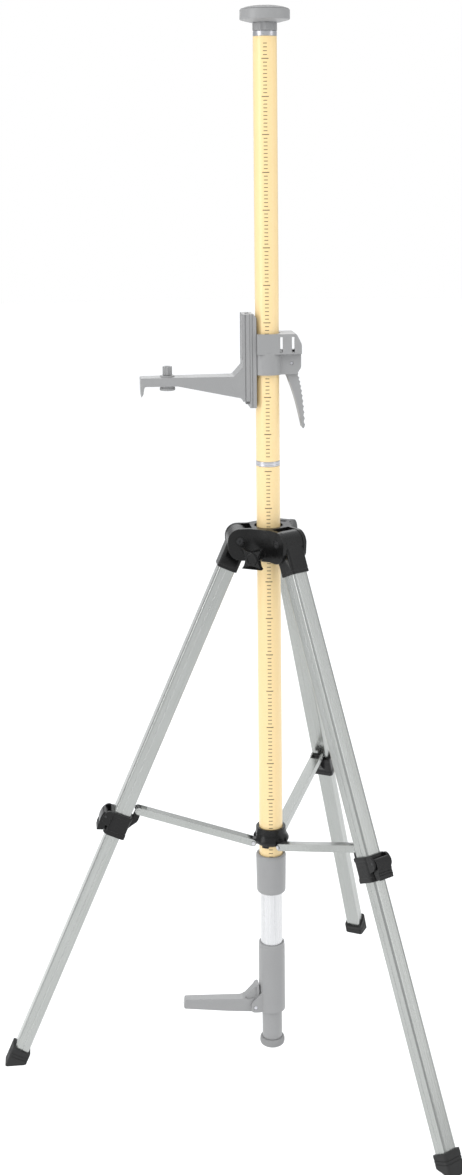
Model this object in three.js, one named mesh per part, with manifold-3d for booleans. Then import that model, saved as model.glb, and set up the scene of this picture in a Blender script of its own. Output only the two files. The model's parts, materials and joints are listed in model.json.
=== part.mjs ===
// A laser level support pole standing in a folding aluminium tripod.
// Millimetres, +Z up. The origin is on the floor, where the pole's axis meets it.
// The legs stand at 180, 300 and 60 degrees; the bracket's arm and the foot pedal point along -X.

import * as THREE from 'three';
import { mergeVertices } from 'three/addons/utils/BufferGeometryUtils.js';
import Module from 'manifold-3d';

const wasm = await Module();
wasm.setup();

// ---------------------------------------------------------------- driving dimensions

const GAP = 0.3;
const FINE = 32;
const ROUND = 20;
const SMALL = 12;

const pole = {
  radius: 16, bore: 15.3, bottom: 228, joint: [806, 812.5], top: 1380,
  spigotRadius: 15, spigotBore: 12.5, spigotLength: 25,
};
const cap = {
  discRadius: 33.5, discBottom: 1398, discTop: 1415, padRadius: 32.5, padFlat: 16, padTop: 1420,
  neckRadius: 16.5, neckBottom: 1387, rodRadius: 6, rodBottom: 1338, flutes: 12,
};
const collar = { radius: 20.5, bottom: 217, top: 270 };
const innerTube = { radius: 15, bore: 13.8, bottom: 97, stop: 145, top: 420 };
const sleeve = { radius: 18, bottom: 64, top: 145 };
const foot = { radius: 13.5, bore: 12, bottom: 11, top: 115, padRadius: 17 };
const pedal = { tip: -122.5, width: 16, pinX: -24, pinZ: 57, pinRadius: 2.5 };

const head = {
  top: 724, bottom: 681, slotStart: 24.5, wall: 31, lobe: 16.5, cheekOuter: 19.5, slot: 14.4,
  poleHole: 16.4, boltRecess: 2.4, knobAngle: 240, knobZ: 691, knobFace: 60, knobTip: 20,
};
const legAngles = [180, 300, 60];
const leg = {
  pivotRadius: 41, pivotHeight: 707.5, footRadius: 351, knuckleWidth: 28, knuckleEnd: 43,
  barrel: 16.1, boltRadius: 3,
  upper: { depth: 23, width: 24, wall: 1.3, from: 22, to: 414 },
  lower: { depth: 19.6, width: 20.6, wall: 1.2, from: 345, to: 760 },
  clampFrom: 403, clampTo: 434, leverPinX: 20.5, leverPinAt: 412, leverWidth: 22,
  earX: -19.5, earAt: 393, bootTop: 751,
};
const hub = { top: 308, bottom: 285, bore: 16.5, pivotRadius: 25, pivotHeight: 287, core: 20.3 };
const arm = { width: 15, height: 9, wall: 1.3, tongue: 9, pinRadius: 1.6 };

const bracket = {
  bodyBottom: 930, bodyTop: 985, bodyOuter: 44, bodyWidth: 42, noseWidth: 27, slitTurn: -8,
  railInner: -16.4, railOuter: -25, railBottom: 886, railTop: 1012, railWidth: 32,
  slabOuter: -34.7, slabBottom: 895, armTip: -171, armTop: 929, armWidth: 32, bossX: -134.5,
  triggerX: 31, triggerZ: 945, triggerWidth: 20, pinReach: 13,
};

const liner = { inner: 16.3, outer: 17.6, bottom: 962, top: 984.5 };

const legLean = Math.atan2(leg.footRadius - leg.pivotRadius, leg.pivotHeight);
const legLength = Math.hypot(leg.footRadius - leg.pivotRadius, leg.pivotHeight);

// ---------------------------------------------------------------- materials

function finish(color, roughness, metalness) {
  return new THREE.MeshStandardMaterial({ color, roughness, metalness });
}

const yellowPaint = () => finish('#f2d78c', 0.45, 0.1);
const greyPlastic = () => finish('#a6a6a6', 0.6, 0);
const blackPlastic = () => finish('#202022', 0.5, 0);
const aluminium = () => finish('#c9cbcb', 0.35, 0.9);
const steel = () => finish('#b4b5b8', 0.3, 1);
const rubber = () => finish('#2c2c2e', 0.85, 0);
const greyRubber = () => finish('#9a9a9a', 0.85, 0);

// ---------------------------------------------------------------- solids

// Shared vertices, no degenerate triangles, faces pointing out.
function weld(geometry) {
  const bare = geometry.clone();
  bare.deleteAttribute('normal');
  bare.deleteAttribute('uv');
  const merged = mergeVertices(bare, 1e-4);
  const corners = merged.index.array;
  const kept = [];
  for (let i = 0; i < corners.length; i += 3) {
    const [a, b, c] = [corners[i], corners[i + 1], corners[i + 2]];
    if (a !== b && b !== c && c !== a) kept.push(a, b, c);
  }
  merged.setIndex(kept);
  return signedVolume(merged) < 0 ? flipped(merged) : merged;
}

function signedVolume(geometry) {
  const position = geometry.attributes.position;
  const corners = geometry.index.array;
  const [a, b, c] = [new THREE.Vector3(), new THREE.Vector3(), new THREE.Vector3()];
  let volume = 0;
  for (let i = 0; i < corners.length; i += 3) {
    a.fromBufferAttribute(position, corners[i]);
    b.fromBufferAttribute(position, corners[i + 1]);
    c.fromBufferAttribute(position, corners[i + 2]);
    volume += a.dot(b.cross(c)) / 6;
  }
  return volume;
}

function flipped(geometry) {
  const corners = Array.from(geometry.index.array);
  for (let i = 0; i < corners.length; i += 3) {
    [corners[i], corners[i + 1]] = [corners[i + 1], corners[i]];
  }
  geometry.setIndex(corners);
  return geometry;
}

function toSolid(geometry) {
  const closed = weld(geometry);
  return new wasm.Manifold(new wasm.Mesh({
    numProp: 3,
    vertProperties: Float32Array.from(closed.attributes.position.array),
    triVerts: Uint32Array.from(closed.index.array),
  }));
}

function toGeometry(solid) {
  const mesh = solid.getMesh();
  const geometry = new THREE.BufferGeometry();
  geometry.setAttribute('position', new THREE.BufferAttribute(mesh.vertProperties, 3));
  geometry.setIndex(new THREE.BufferAttribute(mesh.triVerts, 1));
  return geometry;
}

function join(...geometries) {
  const solids = geometries.map(toSolid);
  return toGeometry(solids.reduce((whole, next) => whole.add(next)));
}

function cut(geometry, ...tools) {
  const solids = tools.map(toSolid);
  return toGeometry(solids.reduce((whole, tool) => whole.subtract(tool), toSolid(geometry)));
}

function common(geometry, other) {
  return toGeometry(toSolid(geometry).intersect(toSolid(other)));
}

function piece(name, geometry, material) {
  const mesh = new THREE.Mesh(weld(geometry), material);
  mesh.name = name;
  return mesh;
}

// A block between two corners.
function block([x0, x1], [y0, y1], [z0, z1]) {
  const box = new THREE.BoxGeometry(x1 - x0, y1 - y0, z1 - z0);
  return box.translate((x0 + x1) / 2, (y0 + y1) / 2, (z0 + z1) / 2);
}

// A solid of revolution about Z from [radius, height] points.
function turned(points, segments = FINE) {
  const profile = points.map(([r, z]) => new THREE.Vector2(r, z));
  return new THREE.LatheGeometry(profile, segments).rotateX(Math.PI / 2);
}

// A pipe about Z.
function pipe(outer, inner, bottom, top, segments = FINE) {
  return turned([[inner, bottom], [outer, bottom], [outer, top], [inner, top], [inner, bottom]], segments);
}

// A round bar about Z, or along X or Y through a point.
function bar(radius, bottom, top, segments = FINE) {
  return turned([[0, bottom], [radius, bottom], [radius, top], [0, top]], segments);
}

function barAlongX(radius, [x0, x1], [y, z], segments = SMALL) {
  return bar(radius, x0, x1, segments).rotateY(Math.PI / 2).translate(0, y, z);
}

function barAlongY(radius, [y0, y1], [x, z], segments = SMALL) {
  return bar(radius, y0, y1, segments).rotateX(-Math.PI / 2).translate(x, 0, z);
}

// An outline from [x, y, cornerRadius] points; a corner takes less than half of either side.
function outline(points, PathClass = THREE.Shape) {
  const path = new PathClass();
  points.forEach(([x, y, wanted = 0], i) => {
    const corner = new THREE.Vector2(x, y);
    const back = new THREE.Vector2(...points.at(i - 1).slice(0, 2)).sub(corner);
    const ahead = new THREE.Vector2(...points[(i + 1) % points.length].slice(0, 2)).sub(corner);
    const radius = Math.min(wanted, 0.48 * back.length(), 0.48 * ahead.length());
    const start = back.setLength(radius).add(corner);
    const end = ahead.setLength(radius).add(corner);
    if (i === 0) path.moveTo(start.x, start.y);
    else path.lineTo(start.x, start.y);
    if (radius > 0) path.quadraticCurveTo(x, y, end.x, end.y);
  });
  path.closePath();
  return path;
}

// An XY outline raised between two heights.
function plate(shape, [z0, z1], curveSegments = 3) {
  const settings = { depth: z1 - z0, bevelEnabled: false, curveSegments };
  return new THREE.ExtrudeGeometry(shape, settings).translate(0, 0, z0);
}

// An XZ outline given a thickness along Y, centred on a given Y.
function cheek(shape, width, y = 0, curveSegments = 3) {
  return plate(shape, [-width / 2, width / 2], curveSegments).rotateX(Math.PI / 2).translate(0, y, 0);
}

// A wheel outline with scalloped flutes.
function flutedOutline(outer, inner, flutes) {
  const shape = new THREE.Shape();
  const steps = flutes * 4;
  for (let i = 0; i < steps; i += 1) {
    const angle = (i / steps) * 2 * Math.PI;
    const radius = outer - (outer - inner) * (0.5 - 0.5 * Math.cos(flutes * angle));
    const [x, y] = [radius * Math.cos(angle), radius * Math.sin(angle)];
    if (i === 0) shape.moveTo(x, y);
    else shape.lineTo(x, y);
  }
  shape.closePath();
  return shape;
}

// A closed coil spring about Z.
function coil(radius, wire, bottom, top, turns) {
  class Helix extends THREE.Curve {
    getPoint(t, target = new THREE.Vector3()) {
      const angle = 2 * Math.PI * turns * t;
      return target.set(radius * Math.cos(angle), radius * Math.sin(angle), bottom + t * (top - bottom));
    }
  }
  const section = new THREE.Shape();
  section.absarc(0, 0, wire / 2, 0, 2 * Math.PI);
  const settings = { steps: turns * 12, curveSegments: 3, extrudePath: new Helix() };
  return new THREE.ExtrudeGeometry(section, settings);
}

function atAngle(degrees, ...children) {
  const group = new THREE.Group();
  group.rotation.z = THREE.MathUtils.degToRad(degrees);
  group.add(...children);
  return group;
}

// ---------------------------------------------------------------- pole

function makePole() {
  const { radius, bore, bottom, joint, top, spigotRadius, spigotBore, spigotLength } = pole;
  const coupler = turned([
    [spigotBore, joint[0] - spigotLength],
    [spigotRadius, joint[0] - spigotLength],
    [spigotRadius, joint[0]],
    [radius, joint[0]],
    [radius, joint[1]],
    [spigotRadius, joint[1]],
    [spigotRadius, joint[1] + spigotLength],
    [spigotBore, joint[1] + spigotLength],
    [spigotBore, joint[0] - spigotLength],
  ], 24);
  const bushBore = cap.rodRadius + 0.5;
  const bush = turned([
    [bushBore, top - spigotLength],
    [spigotRadius, top - spigotLength],
    [spigotRadius, top],
    [radius, top],
    [radius, cap.neckBottom - GAP],
    [bushBore, cap.neckBottom - GAP],
    [bushBore, top - spigotLength],
  ], 24);
  const collet = pipe(18.2, innerTube.radius + GAP, bottom - 7, bottom - GAP);
  return [
    piece('lower_pole_tube', pipe(radius, bore, bottom, joint[0] - GAP), yellowPaint()),
    piece('upper_pole_tube', pipe(radius, bore, joint[1] + GAP, top - GAP), yellowPaint()),
    piece('pole_coupler', coupler, steel()),
    piece('top_bush', bush, steel()),
    piece('collet_ring', collet, greyPlastic()),
  ];
}

// ---------------------------------------------------------------- ceiling jack

function makeJack() {
  const { discRadius, discBottom, discTop, padRadius, padFlat, padTop } = cap;
  const { neckRadius, neckBottom, rodRadius } = cap;
  const neck = cut(
    plate(flutedOutline(neckRadius, neckRadius - 1.2, cap.flutes), [neckBottom, discBottom - GAP]),
    bar(rodRadius + 0.4, neckBottom - 1, discBottom + 1),
  );
  const socketTop = discBottom + 8;
  const disc = turned([
    [rodRadius + 0.4, discBottom],
    [20, discBottom],
    [discRadius - 1, discBottom + 3],
    [discRadius, discBottom + 4],
    [discRadius, discTop],
    [0, discTop],
    [0, socketTop],
    [rodRadius + 0.4, socketTop],
    [rodRadius + 0.4, discBottom],
  ]);
  const pad = turned([
    [0, discTop + GAP],
    [padRadius, discTop + GAP],
    [padRadius - 0.8, discTop + 1.2],
    [25, padTop - 1.4],
    [padFlat, padTop],
    [0, padTop],
  ]);
  return [
    piece('jack_nut', neck, greyPlastic()),
    piece('jack_rod', bar(rodRadius, cap.rodBottom, socketTop - GAP, ROUND), steel()),
    piece('ceiling_disc', disc, greyPlastic()),
    piece('ceiling_pad', pad, greyRubber()),
  ];
}

// ---------------------------------------------------------------- bottom of the pole

function makeTwistCollar() {
  const poleBore = pole.radius + 0.4;
  const tubeBore = innerTube.radius + 0.4;
  return piece('twist_collar', turned([
    [tubeBore, collar.bottom],
    [collar.radius - 1.5, collar.bottom],
    [collar.radius - 0.8, collar.bottom + 2],
    [collar.radius, collar.top - 2],
    [collar.radius - 1, collar.top],
    [poleBore, collar.top],
    [poleBore, pole.bottom + 2],
    [18.6, pole.bottom + 1],
    [18.6, collar.bottom + 4],
    [tubeBore, collar.bottom + 4],
    [tubeBore, collar.bottom],
  ]), greyPlastic());
}

function makeSleeve() {
  const { radius, bottom, top } = sleeve;
  const { pinX, pinZ, pinRadius, width } = pedal;
  const shell = turned([
    [foot.radius + GAP, bottom],
    [radius, bottom],
    [radius, top],
    [innerTube.radius + GAP, top],
    [innerTube.radius + GAP, innerTube.bottom - GAP],
    [foot.radius + GAP, innerTube.bottom - GAP],
    [foot.radius + GAP, bottom],
  ]);
  const lug = outline([
    [-12, bottom, 0],
    [pinX + 2, pinZ - 7, 4],
    [pinX - 6, pinZ - 6, 5],
    [pinX - 6, pinZ + 6, 5],
    [-12, bottom + 30, 0],
  ]);
  const lugs = [1, -1].map((side) => cheek(lug, 3, side * (width / 2 + GAP + 1.5)));
  const tubeRoom = bar(foot.radius + GAP, bottom - 20, innerTube.bottom - GAP);
  const pinHole = barAlongY(pinRadius + GAP, [-20, 20], [pinX, pinZ]);
  return cut(join(shell, ...lugs), tubeRoom, pinHole);
}

function makePedal() {
  const { tip, width, pinX, pinZ, pinRadius } = pedal;
  const side = outline([
    [tip, 60, 3],
    [tip + 2, 72.5, 3],
    [-41, 68.5, 4],
    [-22, 87, 2],
    [-18.7, 87, 1],
    [-18.7, 61],
    [-16.8, 60],
    [-16.8, 49.5, 1],
    [-60, 53, 6],
  ]);
  const plan = outline([
    [tip - 1, -6, 4],
    [-14, -width / 2],
    [-14, width / 2],
    [tip - 1, 6, 4],
  ]);
  const lever = common(cheek(side, width), plate(plan, [40, 100]));
  return cut(lever, barAlongY(pinRadius + GAP, [-20, 20], [pinX, pinZ]));
}

function makeFootPad() {
  const spigot = foot.bore - GAP;
  return turned([
    [0, 0],
    [foot.padRadius - 3, 0],
    [foot.padRadius - 0.8, 2.5],
    [foot.padRadius, 6],
    [foot.padRadius - 0.6, foot.bottom - 1],
    [foot.padRadius - 2, foot.bottom],
    [spigot, foot.bottom],
    [spigot, foot.bottom + 20],
    [0, foot.bottom + 20],
  ]);
}

// The inner tube, closed off above the foot spring.
function makeInnerTube() {
  const { radius, bore, bottom, top, stop } = innerTube;
  return turned([
    [bore, bottom], [radius, bottom], [radius, top], [bore, top],
    [bore, stop + 3], [0, stop + 3], [0, stop], [bore, stop], [bore, bottom],
  ]);
}

function makeFootAssembly() {
  const pinReach = pedal.width / 2 + GAP + 3;
  const pin = barAlongY(pedal.pinRadius, [-pinReach, pinReach], [pedal.pinX, pedal.pinZ], ROUND);
  const spring = coil(9, 2, foot.top + 2, innerTube.stop - 2, 4);
  return [
    makeTwistCollar(),
    piece('inner_tube', makeInnerTube(), aluminium()),
    piece('foot_sleeve', makeSleeve(), greyPlastic()),
    piece('foot_pedal', makePedal(), greyPlastic()),
    piece('pedal_pin', pin, steel()),
    piece('foot_tube', pipe(foot.radius, foot.bore, foot.bottom + GAP, foot.top), greyPlastic()),
    piece('foot_pad', makeFootPad(), greyRubber()),
    piece('foot_spring', spring, steel()),
  ];
}

// ---------------------------------------------------------------- tripod head

// The side view of one lobe, from the pole's axis to the rounded end over the leg's pivot.
function lobeOutline() {
  const [x, z] = [leg.pivotRadius, leg.pivotHeight];
  const end = x + head.lobe;
  const shape = new THREE.Shape();
  shape.moveTo(0, head.bottom);
  shape.lineTo(x - 2, head.bottom);
  shape.quadraticCurveTo(end - 4, head.bottom + 1, end, z - 10);
  shape.lineTo(end, z);
  shape.absarc(x, z, head.lobe, 0, Math.PI / 2);
  shape.lineTo(0, head.top);
  shape.closePath();
  return shape;
}

// Three walls facing 240, 0 and 120 degrees; the corners of the triangle lie under the lobes.
function wallTriangle() {
  const reach = 2 * head.wall;
  return outline(legAngles.map((degrees) => {
    const angle = THREE.MathUtils.degToRad(degrees);
    return [reach * Math.cos(angle), reach * Math.sin(angle)];
  }));
}

function makeCasting() {
  const turn = (geometry, degrees) => geometry.rotateZ(THREE.MathUtils.degToRad(degrees));
  const { cheekOuter, slot, slotStart, wall, knobAngle, knobZ } = head;
  const [bottom, top] = [head.bottom - 1, head.top + 1];
  const lobes = legAngles.map((degrees) => turn(cheek(lobeOutline(), 2 * cheekOuter, 0, 4), degrees));
  const walls = plate(wallTriangle(), [head.bottom, head.top]);
  const knobBoss = turn(barAlongX(8, [wall - 2, wall + 4.5], [0, knobZ], ROUND), knobAngle);
  const slots = legAngles.map((degrees) => (
    turn(block([slotStart, 80], [-slot, slot], [bottom, top]), degrees)
  ));
  const boltHoles = legAngles.map((degrees) => (
    turn(barAlongY(leg.boltRadius + GAP, [-30, 30], [leg.pivotRadius, leg.pivotHeight], SMALL), degrees)
  ));
  const recessFloor = cheekOuter - head.boltRecess;
  const recesses = legAngles.flatMap((degrees) => [[recessFloor, 30], [-30, -recessFloor]].map((span) => (
    turn(barAlongY(5.3, span, [leg.pivotRadius, leg.pivotHeight], ROUND), degrees)
  )));
  const poleHole = bar(head.poleHole, bottom, top);
  const poleRecess = bar(19, head.top - 3, top);
  const studHole = turn(barAlongX(3.3, [20, 50], [0, knobZ]), knobAngle);
  const padHole = turn(barAlongX(6.3, [10, 22.3], [0, knobZ], ROUND), knobAngle);
  const holes = [...slots, ...boltHoles, ...recesses, poleHole, poleRecess, studHole, padHole];
  return cut(join(...lobes, walls, knobBoss), ...holes);
}

// A four-pointed star with hollow flanks.
function starOutline(tipRadius, waist) {
  const shape = new THREE.Shape();
  const points = 4;
  for (let i = 0; i < points; i += 1) {
    const [from, to] = [i, i + 1].map((k) => ((k + 0.5) * 2 * Math.PI) / points);
    const mid = (from + to) / 2;
    if (i === 0) shape.moveTo(tipRadius * Math.cos(from), tipRadius * Math.sin(from));
    shape.quadraticCurveTo(
      waist * Math.cos(mid), waist * Math.sin(mid),
      tipRadius * Math.cos(to), tipRadius * Math.sin(to),
    );
  }
  return shape;
}

function makeHead() {
  const { wall, knobZ, knobFace, knobAngle } = head;
  const bossFace = wall + 4.5;
  const wings = plate(starOutline(head.knobTip, 4), [knobFace - 8, knobFace], 5);
  const grip = turned([
    [0, bossFace + GAP],
    [8, bossFace + GAP],
    [9.5, knobFace - 5],
    [8, knobFace + 2],
    [0, knobFace + 2],
  ], ROUND);
  const stud = bar(3, 22.5, bossFace + 3, SMALL);
  const knob = join(stud, grip, wings).rotateY(Math.PI / 2).translate(0, 0, knobZ);
  const pad = common(
    barAlongX(6, [10, 22.1], [0, knobZ], ROUND),
    cut(block([10, 30], [-10, 10], [knobZ - 10, knobZ + 10]), bar(head.poleHole, knobZ - 11, knobZ + 11)),
  );
  return [
    piece('head_casting', makeCasting(), blackPlastic()),
    atAngle(
      knobAngle,
      piece('head_knob', knob, blackPlastic()),
      piece('head_pressure_pad', pad, steel()),
    ),
  ];
}

// ---------------------------------------------------------------- legs

// The D-shaped section of a leg tube, its round side facing out.
function legSection({ depth, width }, inset = 0, PathClass = THREE.Shape) {
  const [x, y] = [depth / 2 - inset, width / 2 - inset];
  return outline([[-x, -y, 3 - inset], [x, -y, 9 - inset], [x, y, 9 - inset], [-x, y, 3 - inset]], PathClass);
}

function legTube(section) {
  const shape = legSection(section);
  shape.holes.push(legSection(section, section.wall, THREE.Path));
  return plate(shape, [-section.to, -section.from]);
}

function roundedSquare(half, radius) {
  return outline([
    [-half, -half, radius], [half, -half, radius], [half, half, radius], [-half, half, radius],
  ]);
}

function makeKnuckle() {
  const half = leg.knuckleWidth / 2;
  const barrel = barAlongY(leg.barrel, [-half, half], [0, 0], FINE);
  const shank = plate(roundedSquare(half, 4), [-leg.knuckleEnd, 0]);
  const socket = plate(legSection(leg.upper, -GAP), [-leg.knuckleEnd - 1, GAP - leg.upper.from]);
  const boltHole = barAlongY(leg.boltRadius + GAP, [-20, 20], [0, 0]);
  return cut(join(barrel, shank), socket, boltHole);
}

function makeBolt() {
  const [shank, face] = [leg.boltRadius, head.cheekOuter - head.boltRecess + GAP];
  const profile = [
    [0, -face - 1.8], [4, -face - 1.8], [5, -face - 0.8], [5, -face], [shank, -face],
    [shank, face], [5, face], [5, face + 0.8], [4, face + 1.8], [0, face + 1.8],
  ];
  return turned(profile, ROUND).rotateX(-Math.PI / 2);
}

function makeClampCollar() {
  const { clampFrom, clampTo, leverPinX, leverPinAt, leverWidth, earX, earAt } = leg;
  const shell = plate(
    outline([[-15, -15.5, 4], [15.4, -15.5, 8], [15.4, 15.5, 8], [-15, 15.5, 4]]),
    [-clampTo, -clampFrom],
  );
  const lug = outline([
    [12, -clampFrom - 0.5, 0],
    [leverPinX - 1, -clampFrom - 0.5, 3],
    [leverPinX + 4.5, -leverPinAt, 4],
    [leverPinX + 3, -leverPinAt - 8, 3],
    [12, -leverPinAt - 12, 0],
  ]);
  const lugWidth = 3.5;
  const lugs = [1, -1].map((side) => cheek(lug, lugWidth, side * (leverWidth / 2 + GAP + lugWidth / 2)));
  const tongue = outline([
    [-13, -clampFrom - 26, 2],
    [-16.5, -clampFrom - 16, 4],
    [earX - 5, -clampFrom - 4, 3],
    [earX - 4, 4 - earAt, 3],
    [earX + 3, 4 - earAt, 2],
    [-16, -clampFrom - 1, 1],
    [-13, -clampFrom - 2, 0],
  ]);
  const ear = cheek(tongue, arm.tongue);
  const boss = barAlongY(2.4, [-5.9, 5.9], [earX, -earAt]);
  const upperRoom = plate(legSection(leg.upper, -GAP), [-leg.upper.to - GAP, 0]);
  const lowerRoom = plate(legSection(leg.lower, -GAP), [-clampTo - 1, 0]);
  const pinHole = barAlongY(2.1, [-20, 20], [leverPinX, -leverPinAt]);
  return cut(join(shell, ...lugs, ear, boss), upperRoom, lowerRoom, pinHole);
}

function makeClampLever() {
  const { leverPinX, leverPinAt, leverWidth, clampTo } = leg;
  const [x, z] = [leverPinX, -leverPinAt];
  const ridges = [0, 1, 2].flatMap((i) => {
    const height = z - 17 + 3.2 * i;
    return [[x + 4, height - 3.2], [x + 5.2, height]];
  });
  const side = outline([
    [15.8, z - 3, 2],
    [15.8, 3 - clampTo, 2],
    [x + 4.5, -clampTo, 2],
    ...ridges,
    [x + 5.5, z - 4, 4],
    [x + 4, z + 5, 4],
    [x - 4, z + 4, 3],
  ]);
  return cut(cheek(side, leverWidth), barAlongY(2.1, [-20, 20], [x, z]));
}

function makeBoot() {
  const { bootTop, lower } = leg;
  const half = 13;
  const envelope = outline([
    [-20, -legLength - 20], [20, -legLength - 20], [20, 2 - bootTop], [-20, -3 - bootTop],
  ]);
  const shell = common(plate(roundedSquare(half, 4), [-legLength - 20, 10 - bootTop]), cheek(envelope, 40));
  const ground = block([-60, 60], [-40, 40], [-60, 0]).rotateY(legLean).translate(0, 0, -legLength);
  const socket = plate(legSection(lower, -GAP), [-lower.to - GAP, 0]);
  return cut(shell, ground, socket);
}

function makeLeg(degrees, index) {
  const name = (part) => `leg${index + 1}_${part}`;
  const leverPin = barAlongY(1.8, [-14.8, 14.8], [leg.leverPinX, -leg.leverPinAt]);
  const swing = new THREE.Group();
  swing.position.set(leg.pivotRadius, 0, leg.pivotHeight);
  swing.rotation.y = -legLean;
  swing.add(
    piece(name('knuckle'), makeKnuckle(), blackPlastic()),
    piece(name('pivot_bolt'), makeBolt(), steel()),
    piece(name('upper_tube'), legTube(leg.upper), aluminium()),
    piece(name('lower_tube'), legTube(leg.lower), aluminium()),
    piece(name('clamp_collar'), makeClampCollar(), blackPlastic()),
    piece(name('clamp_lever'), makeClampLever(), blackPlastic()),
    piece(name('lever_pin'), leverPin, steel()),
    piece(name('boot'), makeBoot(), rubber()),
  );
  return atAngle(degrees, swing);
}

// ---------------------------------------------------------------- spreader

// Where the ear's boss stands, as radius and height.
function earPoint() {
  const ear = new THREE.Vector3(leg.earX, 0, -leg.earAt);
  ear.applyAxisAngle(new THREE.Vector3(0, 1, 0), -legLean);
  return [leg.pivotRadius + ear.x, leg.pivotHeight + ear.z];
}

function makeArm(length) {
  const half = arm.height / 2;
  const side = new THREE.Shape();
  side.absarc(0, 0, half, Math.PI / 2, 1.5 * Math.PI);
  side.absarc(length, 0, half, -Math.PI / 2, Math.PI / 2);
  const inside = arm.width / 2 - arm.wall;
  const trough = block([-20, length + 20], [-inside, inside], [-20, half - arm.wall]);
  const innerMouth = block([-20, 9], [-inside, inside], [-20, 20]);
  const outerMouth = block([length - 11, length + 20], [-inside, inside], [-20, 20]);
  const channel = cut(cheek(side, arm.width), trough, innerMouth, outerMouth);
  const face = arm.width / 2;
  const rivetHeads = [1, -1].map((s) => barAlongY(2.6, [s * face - 0.6, s * face + 0.6], [length, 0]));
  const pinHole = barAlongY(arm.pinRadius + GAP, [-20, 20], [0, 0]);
  return cut(join(channel, ...rivetHeads), pinHole);
}

function makeHub() {
  const { top, bottom, bore, core, pivotRadius, pivotHeight } = hub;
  const turn = (geometry, degrees) => geometry.rotateZ(THREE.MathUtils.degToRad(degrees));
  const skirt = turned([
    [bore, bottom], [core - 1, bottom], [23.5, bottom + 3], [25, bottom + 7],
    [21, top - 9], [core, top - 3], [19.5, top], [bore, top], [bore, bottom],
  ], 24);
  const room = arm.width / 2 + 1.9;
  const notches = legAngles.map((degrees) => (
    turn(block([core, 40], [-room, room], [bottom - 1, top + 1]), degrees)
  ));
  const side = outline([
    [core - 2, bottom, 0],
    [pivotRadius - 1, pivotHeight - 4, 2],
    [pivotRadius + 4, pivotHeight - 1, 3],
    [pivotRadius + 1, pivotHeight + 4, 3],
    [core - 2, pivotHeight + 6, 0],
  ]);
  const tongues = legAngles.map((degrees) => turn(cheek(side, arm.tongue), degrees));
  const tab = turn(block([core - 3, core], [-4.5, 4.5], [bottom - 2, bottom + 4]), head.knobAngle);
  const pinHoles = legAngles.map((degrees) => (
    turn(barAlongY(arm.pinRadius + GAP, [-20, 20], [pivotRadius, pivotHeight]), degrees)
  ));
  return cut(join(cut(skirt, ...notches), ...tongues, tab), ...pinHoles);
}

function makeSpreader() {
  const [earRadius, earHeight] = earPoint();
  const [reach, rise] = [earRadius - hub.pivotRadius, earHeight - hub.pivotHeight];
  const length = Math.hypot(reach, rise);
  const slope = Math.atan2(rise, reach);
  const face = arm.width / 2 + GAP;
  const pinProfile = [
    [0, -face - 1], [2.6, -face - 1], [2.6, -face], [arm.pinRadius, -face],
    [arm.pinRadius, face], [2.6, face], [2.6, face + 1], [0, face + 1],
  ];
  const arms = legAngles.map((degrees, index) => {
    const pin = turned(pinProfile, SMALL).rotateX(-Math.PI / 2);
    const swing = new THREE.Group();
    swing.position.set(hub.pivotRadius, 0, hub.pivotHeight);
    swing.rotation.y = -slope;
    swing.add(
      piece(`arm${index + 1}_channel`, makeArm(length), aluminium()),
      piece(`arm${index + 1}_pin`, pin, steel()),
    );
    return atAngle(degrees, swing);
  });
  return [piece('spreader_hub', makeHub(), blackPlastic()), ...arms];
}

// ---------------------------------------------------------------- instrument bracket

function makeClampBody() {
  const { bodyBottom, bodyTop, bodyOuter, bodyWidth, noseWidth, slitTurn } = bracket;
  const { railInner, triggerX, triggerZ, triggerWidth } = bracket;
  const inner = railInner + GAP;
  const shoulder = bodyBottom + 28;
  const side = outline([
    [inner, bodyBottom], [bodyOuter - 6, bodyBottom], [bodyOuter, bodyBottom + 9],
    [bodyOuter, bodyTop - 14], [bodyOuter - 7, bodyTop], [inner, bodyTop],
  ]);
  const upper = block([-60, 60], [-bodyWidth / 2, bodyWidth / 2], [shoulder, bodyTop + 1]);
  const lowerBar = bar(21.5, bodyBottom, shoulder + 1);
  const lowerBlock = block([8, 60], [-noseWidth / 2, noseWidth / 2], [bodyBottom - 1, shoulder + 1]);
  const bulk = common(cheek(side, bodyWidth + 4), join(upper, lowerBar, lowerBlock));
  const room = triggerWidth / 2 + 0.4;
  const cavity = block([21, bodyOuter - 1.5], [-room, room], [bodyBottom - 10, bodyBottom + 31]);
  const padWindow = block([10, 22], [-5.8, 5.8], [bodyBottom + 6, bodyBottom + 22]);
  const slits = [19.3, 35.4].map((x) => (
    block([-1.8, 1.8], [-40, 40], [bodyTop - 25, bodyTop - 4])
      .rotateZ(THREE.MathUtils.degToRad(slitTurn)).translate(x, 0, 0)
  ));
  const pinHole = barAlongY(2.3, [-40, 40], [triggerX, triggerZ]);
  const linerRoom = bar(liner.outer + GAP, liner.bottom - GAP, bodyTop + 1);
  const bore = bar(pole.radius + 0.5, bodyBottom - 1, bodyTop + 1);
  return cut(bulk, bore, linerRoom, cavity, padWindow, ...slits, pinHole);
}

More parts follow.
